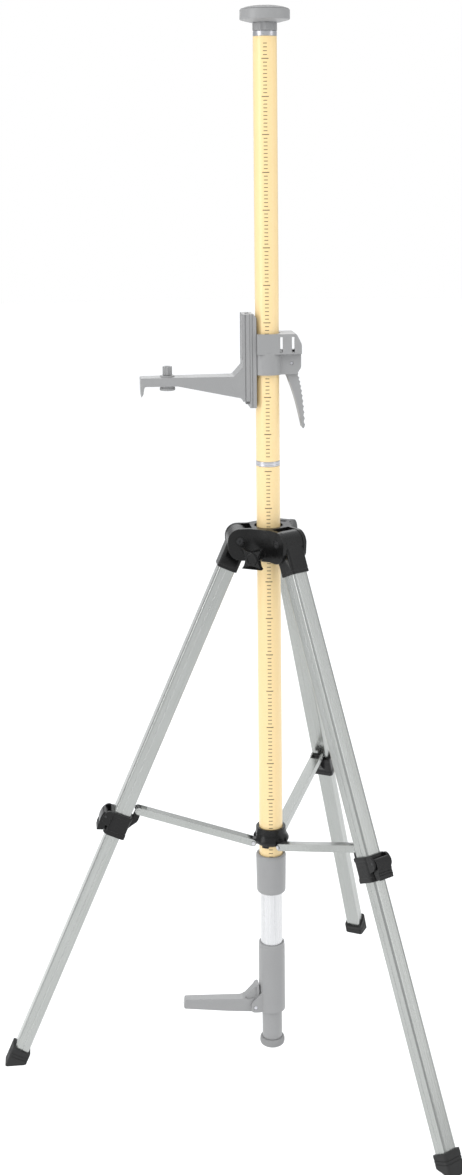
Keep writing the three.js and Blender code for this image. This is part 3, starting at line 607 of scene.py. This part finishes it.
def arc(x, y, radius, start, end, steps):
    """Points on an arc about (x, y), from one angle in degrees to another."""
    turn = (radians(start + (end - start) * k / steps) for k in range(steps + 1))
    return [(x + radius * cos(a), y + radius * sin(a)) for a in turn]


def bend(start, control, end, steps):
    """Points on a quadratic curve, without its first one."""
    start, control, end = Vector(start), Vector(control), Vector(end)
    ts = [k / steps for k in range(1, steps + 1)]
    return [tuple((1 - t) ** 2 * start + 2 * t * (1 - t) * control + t * t * end) for t in ts]


def head_casting():
    x, z, lobe = LEG_PIVOT_RADIUS, LEG_PIVOT_HEIGHT, 16.5
    end = x + lobe
    outline = [(0, HEAD_BOTTOM), (x - 2, HEAD_BOTTOM)]
    outline += bend((x - 2, HEAD_BOTTOM), (end - 4, HEAD_BOTTOM + 1), (end, z - 10), 10)
    outline += arc(x, z, lobe, 0, 90, 20)
    outline += [(0, HEAD_TOP)]
    lobes = [moved(side(outline, 39, 0, 1.1), spin(a)) for a in LEG_ANGLES]
    corners = [(62 * cos(radians(a)), 62 * sin(radians(a))) for a in LEG_ANGLES]
    walls = prism(corners, HEAD_BOTTOM, HEAD_TOP, 1.1)
    boss = moved(bar_x(8, (HEAD_WALL - 2, KNOB_BOSS_FACE), KNOB_HEIGHT, 0.8), spin(KNOB_ANGLE))
    low, high = HEAD_BOTTOM - 1, HEAD_TOP + 1
    slots = [moved(block((24.5, 80), (-14.4, 14.4), (low, high)), spin(a)) for a in LEG_ANGLES]
    holes = [moved(bar_y(3.3, x, (-30, 30), z), spin(a)) for a in LEG_ANGLES]
    faces = ((BOLT_FACE - GAP, 30), (-30, GAP - BOLT_FACE))
    recesses = [moved(bar_y(5.3, x, face, z), spin(a)) for a in LEG_ANGLES for face in faces]
    stud = moved(bar_x(3.3, (20, 50), KNOB_HEIGHT), spin(KNOB_ANGLE))
    pad = moved(bar_x(6.3, (10, 22.3), KNOB_HEIGHT), spin(KNOB_ANGLE))
    through = bar(POLE_ROOM, low, high)
    recess = turned([(0, HEAD_TOP - 3), (19, HEAD_TOP - 3), (19.6, high), (0, high)])
    return cut(join(walls, *lobes, boss), *slots, *holes, *recesses, stud, pad, through, recess)


def star(tip, waist, lean):
    """A four-pointed star with hollow flanks; its tips lean to one side like a pinwheel's."""
    points = []
    for i in range(4):
        first = pi / 4 + i * pi / 2
        start = Vector((tip * cos(first), tip * sin(first)))
        after = first + pi / 2
        end = Vector((tip * cos(after), tip * sin(after)))
        middle = first + pi / 4 + lean
        control = (waist * cos(middle), waist * sin(middle))
        points += bend(start, control, end, 10)
    return rounded([(x, y, 0.6) for x, y in points], 1)


def head_knob():
    wings = prism(star(20, 4, 0.25), KNOB_FACE - 8, KNOB_FACE, 1.2)
    core = turned([
        (0, KNOB_BOSS_FACE + GAP), (8, KNOB_BOSS_FACE + GAP, 0.6), (9.5, KNOB_FACE - 5, 1),
        (8.2, KNOB_FACE + 2, 1.0), (5.2, KNOB_FACE + 2, 0.5), (4.8, KNOB_FACE + 0.8, 0.4),
        (0, KNOB_FACE + 0.8),
    ], ROUND)
    knob = join(core, bar(3, 22.5, KNOB_BOSS_FACE + 3, 0.3, SMALL), wings)
    turn = Matrix.Translation((0, 0, KNOB_HEIGHT)) @ Matrix.Rotation(pi / 2, 4, "Y")
    return moved(knob, turn)


def make_head():
    stand_in("head_casting", head_casting(), "head", "black_plastic")
    stand_in("head_knob", head_knob(), "head_knob", "black_plastic", spin(KNOB_ANGLE))
    pad = cut(bar_x(6, (10, 22.1), KNOB_HEIGHT, 0.4), bar(POLE_ROOM, 670, 710))
    stand_in("head_pressure_pad", pad, "head", "steel", spin(KNOB_ANGLE))


# ---------------------------------------------------------------- legs


def leg_section(tube, inset):
    """A tube's D-shaped outline, its round side facing out."""
    x, y = tube["depth"] / 2 - inset, tube["width"] / 2 - inset
    flat, full = 3 - inset, 9 - inset
    return rounded([(-x, -y, flat), (x, -y, full), (x, y, full), (-x, y, flat)], LEG_CORNER_STEPS)


def leg_tube(tube):
    """A D-shaped tube with a fine groove down each side."""
    x, y = tube["depth"] / 2, tube["width"] / 2
    groove = 0.35
    outline = rounded([
        (-x, -y, 3), (x - 10.4, -y, 0.1), (x - 10.2, -y + groove, 0.1), (x - 9.4, -y + groove, 0.1),
        (x - 9.2, -y, 0.1), (x, -y, 9), (x, y, 9), (x - 9.2, y, 0.1), (x - 9.4, y - groove, 0.1),
        (x - 10.2, y - groove, 0.1), (x - 10.4, y, 0.1), (-x, y, 3),
    ], LEG_CORNER_STEPS)
    skin = prism(outline, -tube["end"], -tube["start"], 0.25)
    return cut(skin, prism(leg_section(tube, tube["wall"]), -tube["end"] - 1, -tube["start"] + 1))


def square(half, corner):
    """A square outline with rounded corners."""
    return rounded([(x * half, y * half, corner) for x, y in ((-1, -1), (1, -1), (1, 1), (-1, 1))])


def knuckle():
    barrel = bar_y(16.1, 0, (-14, 14), 0, 0.9, FINE)
    shank = prism(square(14, 4), -KNUCKLE_END, 0, 0.9)
    socket = prism(leg_section(UPPER_TUBE, -GAP), -KNUCKLE_END - 1, GAP - UPPER_TUBE["start"])
    level = 4 - KNUCKLE_END
    groove = cut(prism(square(15, 4), level, level + 0.8), prism(square(13.5, 3.8), level - 1, level + 2))
    return cut(join(barrel, shank), groove, socket, bar_y(3.3, 0, (-20, 20), 0))


def pivot_bolt():
    face = BOLT_FACE
    bolt = turned([
        (0, -face - 1.8), (5, -face - 1.8, 0.8), (5, -face), (3, -face), (3, face), (5, face),
        (5, face + 1.8, 0.8), (0, face + 1.8),
    ], SMALL)
    hexagon = [(2.1 * cos(pi * k / 3), 2.1 * sin(pi * k / 3)) for k in range(6)]
    sockets = [prism(hexagon, face + 0.6, face + 4), prism(hexagon, -face - 4, -face - 0.6)]
    return moved(cut(bolt, *sockets), Matrix.Rotation(-pi / 2, 4, "X"))


def clamp_collar():
    top, bottom = -CLAMP_START, -CLAMP_END
    outline = [(-15, -15.5, 4), (15.4, -15.5, 8), (15.4, 15.5, 8), (-15, 15.5, 4)]
    waist = [(-14.4, -14.9, 4), (14.8, -14.9, 8), (14.8, 14.9, 8), (-14.4, 14.9, 4)]
    outline, waist = (rounded(points, LEG_CORNER_STEPS) for points in (outline, waist))
    shell = join(
        prism(waist, bottom, top, 0.4),
        prism(outline, bottom, bottom + 6, 0.7),
        prism(outline, top - 5, top, 0.7),
    )
    lug = rounded([
        (12, top - 0.5), (LEVER_PIN_X - 1, top - 0.5, 3), (LEVER_PIN_X + 4.5, -LEVER_PIN_AT, 4),
        (LEVER_PIN_X + 3, -LEVER_PIN_AT - 8, 3), (12, -LEVER_PIN_AT - 12),
    ])
    lugs = [side(lug, 3.5, y * (LEVER_WIDTH / 2 + GAP + 1.75), 0.6) for y in (-1, 1)]
    tongue = rounded([
        (-13, top - 26, 2), (-16.5, top - 16, 4), (EAR_X - 5, top - 4, 3), (EAR_X - 4, 4 - EAR_AT, 3),
        (EAR_X + 3, 4 - EAR_AT, 2), (-16, top - 1, 1), (-13, top - 2),
    ])
    ear = side(tongue, ARM_TONGUE, 0, 0.7)
    boss = bar_y(2.4, EAR_X, (-5.9, 5.9), -EAR_AT, 0.3)
    upper_room = prism(leg_section(UPPER_TUBE, -GAP), -UPPER_TUBE["end"] - GAP, 0)
    lower_room = prism(leg_section(LOWER_TUBE, -GAP), bottom - 1, 0)
    pin_hole = bar_y(2.1, LEVER_PIN_X, (-20, 20), -LEVER_PIN_AT)
    return cut(join(shell, *lugs, ear, boss), upper_room, lower_room, pin_hole)


def clamp_lever():
    x, z, end = LEVER_PIN_X, -LEVER_PIN_AT, -CLAMP_END
    ridges = []
    for i in range(3):
        height = z - 17 + 3.2 * i
        ridges += [(x + 4, height - 3.2, 0.3), (x + 5.2, height, 0.4)]
    outline = rounded([
        (15.8, z - 3, 2), (15.8, end + 3, 2), (x + 4.5, end, 2), *ridges, (x + 5.5, z - 4, 4),
        (x + 4, z + 5, 4), (x - 4, z + 4, 3),
    ], 4)
    return cut(side(outline, LEVER_WIDTH, 0, 0.5), bar_y(2.1, x, (-20, 20), z))


def boot():
    half = 13
    shell = prism(square(half, 4), -leg_length - 20, 10 - BOOT_TOP)
    rim = rounded([(-20, -leg_length - 20), (20, -leg_length - 20), (20, 2 - BOOT_TOP), (-20, -3 - BOOT_TOP)])
    slope = Matrix.Translation((0, 0, -leg_length)) @ Matrix.Rotation(leg_lean, 4, "Y")
    ground = moved(block((-60, 60), (-40, 40), (-60, 0)), slope)
    socket = prism(leg_section(LOWER_TUBE, -GAP), -LOWER_TUBE["end"] - GAP, 0)
    grooves = []
    for k in range(2):
        level = -BOOT_TOP - 8 - 4 * k
        core = prism(square(12.5, 3.7), level - 1, level + 3)
        grooves.append(cut(prism(square(14, 4), level, level + 1.2), core))
    return cut(common(shell, side(rim, 40)), ground, socket, *grooves)


def make_legs():
    shapes = {
        "knuckle": (knuckle, "", "black_plastic"),
        "upper_tube": (lambda: leg_tube(UPPER_TUBE), "", "leg_aluminium"),
        "lower_tube": (lambda: leg_tube(LOWER_TUBE), "_lower", "leg_aluminium"),
        "clamp_collar": (clamp_collar, "", "black_plastic"),
        "clamp_lever": (clamp_lever, "_lever", "black_plastic"),
        "lever_pin": (lambda: bar_y(1.8, LEVER_PIN_X, (-14.8, 14.8), -LEVER_PIN_AT, 0.4), "", "black_steel"),
        "boot": (boot, "_lower", "black_rubber"),
    }
    for index in range(3):
        place = leg_place(index)
        for part, (make, body, slot) in shapes.items():
            stand_in(f"leg{index + 1}_{part}", make(), f"leg{index + 1}{body}", slot, place)
        stand_in(f"leg{index + 1}_pivot_bolt", pivot_bolt(), "head", "black_steel", place)


# ---------------------------------------------------------------- spreader


def spreader_hub():
    core = 20.3
    skirt = turned([
        (16.5, HUB_BOTTOM, 0.3), (core - 1, HUB_BOTTOM, 0.6), (23.5, HUB_BOTTOM + 3, 1.2),
        (25, HUB_BOTTOM + 7, 1.6), (21.2, HUB_TOP - 9, 2.0), (20.4, HUB_TOP - 3, 0.5),
        (20.2, HUB_TOP, 0.9), (16.5, HUB_TOP, 0.4),
    ])
    room = (HUB_BOTTOM - 1, HUB_TOP + 1)
    notches = [moved(block((core, 40), (-9.4, 9.4), room), spin(a)) for a in LEG_ANGLES]
    outline = rounded([
        (core - 2, HUB_BOTTOM), (HUB_PIVOT_RADIUS - 1, HUB_PIVOT_HEIGHT - 4, 2),
        (HUB_PIVOT_RADIUS + 4, HUB_PIVOT_HEIGHT - 1, 3), (HUB_PIVOT_RADIUS + 1, HUB_PIVOT_HEIGHT + 4, 3),
        (core - 2, HUB_PIVOT_HEIGHT + 6),
    ])
    tongues = [moved(side(outline, ARM_TONGUE, 0, 0.6), spin(a)) for a in LEG_ANGLES]
    tab = moved(block((core - 3, core), (-4.5, 4.5), (HUB_BOTTOM - 2, HUB_BOTTOM + 4), 0.6), spin(KNOB_ANGLE))
    holes = [moved(bar_y(1.9, HUB_PIVOT_RADIUS, (-20, 20), HUB_PIVOT_HEIGHT), spin(a)) for a in LEG_ANGLES]
    return cut(join(cut(skirt, *notches), *tongues, tab), *holes)


def arm_channel(length):
    half, face, inside = ARM_HEIGHT / 2, ARM_WIDTH / 2, ARM_WIDTH / 2 - ARM_WALL
    outline = arc(0, 0, half, 90, 270, 16) + arc(length, 0, half, -90, 90, 16)
    body = side(outline, ARM_WIDTH, 0, 0.45)
    trough = block((-20, length + 20), (-inside, inside), (-20, half - ARM_WALL))
    mouths = [block(x, (-inside, inside), (-20, 20)) for x in ((-20, 9), (length - 11, length + 20))]
    rivets = [bar_y(2.6, length, (s * face - 0.6, s * face + 0.6), 0, 0.3) for s in (-1, 1)]
    return cut(join(cut(body, trough, *mouths), *rivets), bar_y(1.9, 0, (-20, 20), 0))


def arm_pin():
    face = ARM_WIDTH / 2 + GAP
    pin = turned([
        (0, -face - 1), (2.6, -face - 1, 0.5), (2.6, -face), (1.6, -face), (1.6, face), (2.6, face),
        (2.6, face + 1, 0.5), (0, face + 1),
    ], SMALL)
    return moved(pin, Matrix.Rotation(-pi / 2, 4, "X"))


def make_spreader():
    stand_in("spreader_hub", spreader_hub(), "hub", "black_plastic")
    lean = Matrix.Rotation(-leg_lean, 3, "Y")
    ear = Vector((LEG_PIVOT_RADIUS, 0, LEG_PIVOT_HEIGHT)) + lean @ Vector((EAR_X, 0, -EAR_AT))
    reach, rise = ear.x - HUB_PIVOT_RADIUS, ear.z - HUB_PIVOT_HEIGHT
    length, slope = math.hypot(reach, rise), math.atan2(rise, reach)
    for index, angle in enumerate(LEG_ANGLES):
        place = (
            spin(angle)
            @ Matrix.Translation((HUB_PIVOT_RADIUS, 0, HUB_PIVOT_HEIGHT))
            @ Matrix.Rotation(-slope, 4, "Y")
        )
        name = f"arm{index + 1}"
        stand_in(f"{name}_channel", arm_channel(length), name, "leg_aluminium", place)
        stand_in(f"{name}_pin", arm_pin(), "hub", "steel", place)


# ---------------------------------------------------------------- instrument bracket


def clamp_body():
    low, high, outer, inner = BODY_LOW, BODY_HIGH, BODY_OUTER, -16.1
    shoulder = low + 28
    outline = rounded([
        (inner, low), (outer - 6, low, 1), (outer, low + 9, 2), (outer, high - 14, 2),
        (outer - 7, high, 2), (inner, high),
    ])
    upper = block((-60, 60), (-21, 21), (shoulder, high + 1))
    lower_bar = bar(21.5, low, shoulder + 1)
    lower_block = block((8, 60), (-13.5, 13.5), (low - 1, shoulder + 1))
    bulk = common(side(outline, 46, 0, 0.4), join(upper, lower_bar, lower_block))
    room = TRIGGER_WIDTH / 2 + 0.4
    cavity = block((21, outer - 1.5), (-room, room), (low - 10, low + 31))
    window = block((10, 22), (-5.8, 5.8), (low + 6, low + 22))
    slits = []
    for x in (19.3, 35.4):
        slit = moved(block((-1.8, 1.8), (-40, 40), (high - 25, high - 4)), spin(-8))
        slits.append(moved(slit, Matrix.Translation((x, 0, 0))))
    pin_hole = bar_y(2.3, TRIGGER_X, (-40, 40), TRIGGER_Z)
    pole_room = bar(16.5, low - 1, high + 1)
    liner_room = bar(LINER_OUTER + GAP, LINER_ROOM_LOW, high + 1)
    return cut(bulk, pole_room, liner_room, cavity, window, *slits, pin_hole)


def clamp_trigger():
    teeth, depth = 10, 2.2
    tip, control, top = Vector((49.3, 861)), Vector((48, 905)), Vector((40.5, 930))

    def edge(t):
        return (1 - t) ** 2 * tip + 2 * t * (1 - t) * control + t * t * top

    outline = [(25.5, 941), (24.5, 929)]
    outline += bend((24.5, 929), (37.5, 900), (45.5, 857), 12)
    outline += bend((45.5, 857), (47.5, 853.5), (49.3, 861), 5)
    for i in range(teeth):
        root, crest = edge((i + 0.45) / teeth), edge((i + 1) / teeth)
        outline += [(root.x - depth, root.y), (crest.x, crest.y)]
    outline += [(39, 941)]
    grip = side(outline, TRIGGER_WIDTH, 0, 0.5)
    head = bar_y(8, TRIGGER_X, (-TRIGGER_WIDTH / 2, TRIGGER_WIDTH / 2), TRIGGER_Z, 0.5, ROUND)
    spring_room = bar_y(4.8, TRIGGER_X, (TRIGGER_WIDTH / 2 - 4, TRIGGER_WIDTH), TRIGGER_Z)
    pin_hole = bar_y(2.3, TRIGGER_X, (-40, 40), TRIGGER_Z)
    return cut(join(grip, head), spring_room, pin_hole)


def bracket_rail():
    inner, outer, low, high = -16.4, -25.0, 886.0, 1012.0
    outline = rounded([
        (outer, low), (inner, low, 0.8), (inner, high - 5, 0.8), (inner - 3.5, high, 0.8), (outer, high),
    ])
    dovetail = [(outer + 1, -4), (-30, -6.5), (-30, 6.5), (outer + 1, 4)]
    plate = side(outline, 32, 0, 0.6)
    ridge = prism(dovetail, low + 4, high - 4, 0.3)
    grooves = [block((-22.4, -21.2), (s * 16 - 0.8, s * 16 + 0.8), (low - 1, high + 1)) for s in (-1, 1)]
    liner_room = bar(LINER_OUTER + GAP, LINER_ROOM_LOW, BODY_HIGH + 1)
    return cut(join(plate, ridge), liner_room, *grooves)


def instrument_arm():
    rail, slab, slab_low, high = -25.0, -34.7, 895.0, 1012.0
    tip, top, width = -171.0, 929.0, 32.0
    root = slab + 0.5
    plate = block((slab, rail - GAP), (-width / 2, width / 2), (slab_low, high), 0.8)
    groove = prism([(rail + 1, -3.9), (-30.4, -7.1), (-30.4, 7.1), (rail + 1, 3.9)], slab_low - 1, high + 1)
    flutes = [block((slab - 1, slab + 1.2), (y - 3.2, y + 3.2), (950, high + 1)) for y in (-9, 9)]
    length = (slab_low - 1, high + 1)
    channels = [block((-31.8, -30.4), (y - 1, y + 1), length) for y in (-16, 16)]
    beam_side = rounded([
        (root, 943), (slab - 12, top, 2), (tip, top, 2), (tip + 0.3, 912), (tip + 1, 903.5, 0.4),
        (tip + 3.5, 907), (tip + 5.5, 917.5, 2), (-122, 917.5), (root, 899),
    ])
    beam_plan = rounded([(tip - 1, -12, 1), (root, -width / 2), (root, width / 2), (tip - 1, 12, 1)])
    beam = common(side(beam_side, width, 0, 0.6), prism(beam_plan, slab_low, high))
    hollow = side(
        rounded([(-118, top - 3, 2), (slab - 4, top - 3, 2), (slab - 4, 885), (-118, 905)]), width - 9
    )
    flank = rounded([(-112, top - 4, 1.5), (slab - 16, top - 4, 2), (slab - 11, 907, 2), (-104, 918, 1.5)])
    flanks = [side(flank, 2.4, s * 16.6) for s in (-1, 1)]
    boss = moved(turned([
        (0, top - 18), (10.4, top - 18, 0.8), (10.4, top - 15, 0.6), (9.5, top - 13.5, 0.6),
        (9.5, top + 2, 0.6), (0, top + 2),
    ], ROUND), Matrix.Translation((BOSS_X, 0, 0)))
    screw_hole = moved(bar(3.5, top - 30, top + 10, 0, SMALL), Matrix.Translation((BOSS_X, 0, 0)))
    whole = join(cut(plate, groove, *flutes, *channels), cut(beam, hollow, *flanks), boss)
    return cut(whole, screw_hole)


def thumb_screw():
    low, high = 931.5, 943.0
    stem_low, stem_high = 911.5, 932
    grip = prism(fluted(6.3, 5.2, 8), low, high, 0.4)
    dimple = turned([(0, high - 1.2), (3.4, high - 1.2, 0.3), (3.8, high + 1), (0, high + 1)], SMALL)
    stem = bar(3, stem_low, stem_high, 0.4, SMALL)
    return moved(join(cut(grip, dimple), stem), Matrix.Translation((BOSS_X, 0, 0)))


def make_bracket():
    stand_in("bracket_body", clamp_body(), "bracket", "grey_plastic")
    liner = pipe(LINER_OUTER, LINER_INNER, *span("bracket_liner"))
    stand_in("bracket_liner", liner, "bracket_liner", "grey_plastic")
    stand_in("bracket_rail", bracket_rail(), "bracket", "grey_plastic")
    stand_in("instrument_arm", instrument_arm(), "instrument_arm", "grey_plastic")
    stand_in("thumb_screw", thumb_screw(), "thumb_screw", "grey_plastic")
    stand_in("clamp_trigger", clamp_trigger(), "clamp_trigger", "grey_plastic")
    stand_in("trigger_pin", bar_y(2, TRIGGER_X, (-13, 13), TRIGGER_Z, 0.4), "bracket", "steel")
    pad_block = block((10, 21.4), (-5.5, 5.5), (BODY_LOW + 6.3, BODY_LOW + 21.7), 0.5)
    pad = cut(pad_block, bar(POLE_ROOM, BODY_LOW, BODY_LOW + 30))
    stand_in("jaw_pad", pad, "jaw_pad", "black_rubber")
    turn = Matrix.Translation((TRIGGER_X, 0, TRIGGER_Z)) @ Matrix.Rotation(-pi / 2, 4, "X")
    spring = coil(radius=3.7, wire=1, low=6.6, high=9.2, turns=2)
    stand_in("trigger_spring", moved(spring, turn), "bracket", "steel")


# ---------------------------------------------------------------- camera, lights and floor

# The lens is in millimetres, the shift in heights of the image, and the rest in metres and degrees.
CAMERA_LENS, CAMERA_SHIFT = 50.1549, -0.290638
CAMERA_DISTANCE, CAMERA_HEIGHT = 2.182, 1.246
CAMERA_TURN, CAMERA_YAW, CAMERA_PITCH, CAMERA_ROLL = -7.58, -1.24, 3.78, -0.52
SKY_LOW, SKY_HIGH = 0.48, 1.45
LIGHT_AIM = 0.7
# The floor lies just below the foot at its longest reach, so that no pose hides a part.
FLOOR_DROP = 0.16


def make_camera():
    data = bpy.data.cameras.new("camera")
    data.lens = CAMERA_LENS
    data.shift_y = CAMERA_SHIFT
    data.clip_end = 50
    camera = bpy.data.objects.new("camera", data)
    yaw, pitch, roll = (radians(a) for a in (CAMERA_YAW, CAMERA_PITCH, CAMERA_ROLL))
    forward = Vector((sin(yaw) * cos(pitch), cos(yaw) * cos(pitch), -sin(pitch)))
    level = Vector((cos(yaw), -sin(yaw), 0))
    above = level.cross(forward)
    right = level * cos(roll) + above * sin(roll)
    up = above * cos(roll) - level * sin(roll)
    axes = Matrix((right, up, -forward)).transposed().to_4x4()
    place = Matrix.Translation((0, -CAMERA_DISTANCE, CAMERA_HEIGHT)) @ axes
    camera.matrix_world = Matrix.Rotation(radians(CAMERA_TURN), 4, "Z") @ place
    bpy.context.scene.collection.objects.link(camera)
    bpy.context.scene.camera = camera


def softbox(name, azimuth, distance, height, size, watts):
    """A rectangular light at an angle round the object, turned towards its middle."""
    data = bpy.data.lights.new(name, "AREA")
    data.shape = "RECTANGLE"
    data.size, data.size_y = size
    data.energy = watts
    lamp = bpy.data.objects.new(name, data)
    angle = radians(azimuth)
    lamp.location = (distance * cos(angle), distance * sin(angle), height)
    lamp.rotation_euler = (Vector((0, 0, LIGHT_AIM)) - lamp.location).to_track_quat("-Z", "Y").to_euler()
    lamp.visible_camera = False
    bpy.context.scene.collection.objects.link(lamp)


def make_world():
    """White behind the object, and a soft light that grows from the horizon to the zenith."""
    world = bpy.data.worlds.new("studio")
    world.use_nodes = True
    tree = world.node_tree
    tree.nodes.clear()
    path = node(tree, "ShaderNodeLightPath")
    seen = node(tree, "ShaderNodeBackground", in_Strength=1.0)
    seen.inputs["Color"].default_value = (1, 1, 1, 1)
    fill = node(tree, "ShaderNodeBackground")
    fill.inputs["Color"].default_value = (0.97, 0.985, 1, 1)
    direction = node(tree, "ShaderNodeTexCoord")
    split = node(tree, "ShaderNodeSeparateXYZ")
    climb = node(tree, "ShaderNodeMapRange")
    climb.inputs["To Min"].default_value = SKY_LOW
    climb.inputs["To Max"].default_value = SKY_HIGH
    tree.links.new(direction.outputs["Generated"], split.inputs[0])
    tree.links.new(split.outputs["Z"], climb.inputs["Value"])
    tree.links.new(climb.outputs["Result"], fill.inputs["Strength"])
    pick = node(tree, "ShaderNodeMixShader")
    output = node(tree, "ShaderNodeOutputWorld")
    tree.links.new(path.outputs["Is Camera Ray"], pick.inputs[0])
    tree.links.new(fill.outputs[0], pick.inputs[1])
    tree.links.new(seen.outputs[0], pick.inputs[2])
    tree.links.new(pick.outputs[0], output.inputs["Surface"])
    bpy.context.scene.world = world


def floor_material():
    material = bpy.data.materials.new("floor")
    material.use_nodes = True
    shader = material.node_tree.nodes["Principled BSDF"]
    shader.inputs["Base Color"].default_value = (0.95, 0.95, 0.95, 1)
    shader.inputs["Roughness"].default_value = 0.9
    shader.inputs["Specular IOR Level"].default_value = 0.1
    return material


def make_floor():
    bm = bmesh.new()
    bmesh.ops.create_circle(bm, cap_ends=True, segments=64, radius=12)
    mesh = bpy.data.meshes.new("floor")
    bm.to_mesh(mesh)
    bm.free()
    floor = bpy.data.objects.new("floor", mesh)
    floor.location.z = -FLOOR_DROP
    bpy.context.scene.collection.objects.link(floor)
    mesh.materials.append(floor_material())


def make_studio():
    bpy.context.scene.view_settings.view_transform = "Standard"
    make_world()
    make_floor()
    softbox("key", 206, 2.6, 1.6, (0.8, 2.6), 24)
    softbox("rim", 329, 2.8, 1.6, (0.7, 2.6), 9)
    softbox("back", 90, 2.6, 2.2, (2.0, 1.4), 14)
    softbox("top", 250, 0.9, 3.0, (1.6, 1.6), 14)


make_pole()
make_jack()
make_foot()
make_head()
make_legs()
make_spreader()
make_bracket()
make_camera()
make_studio()
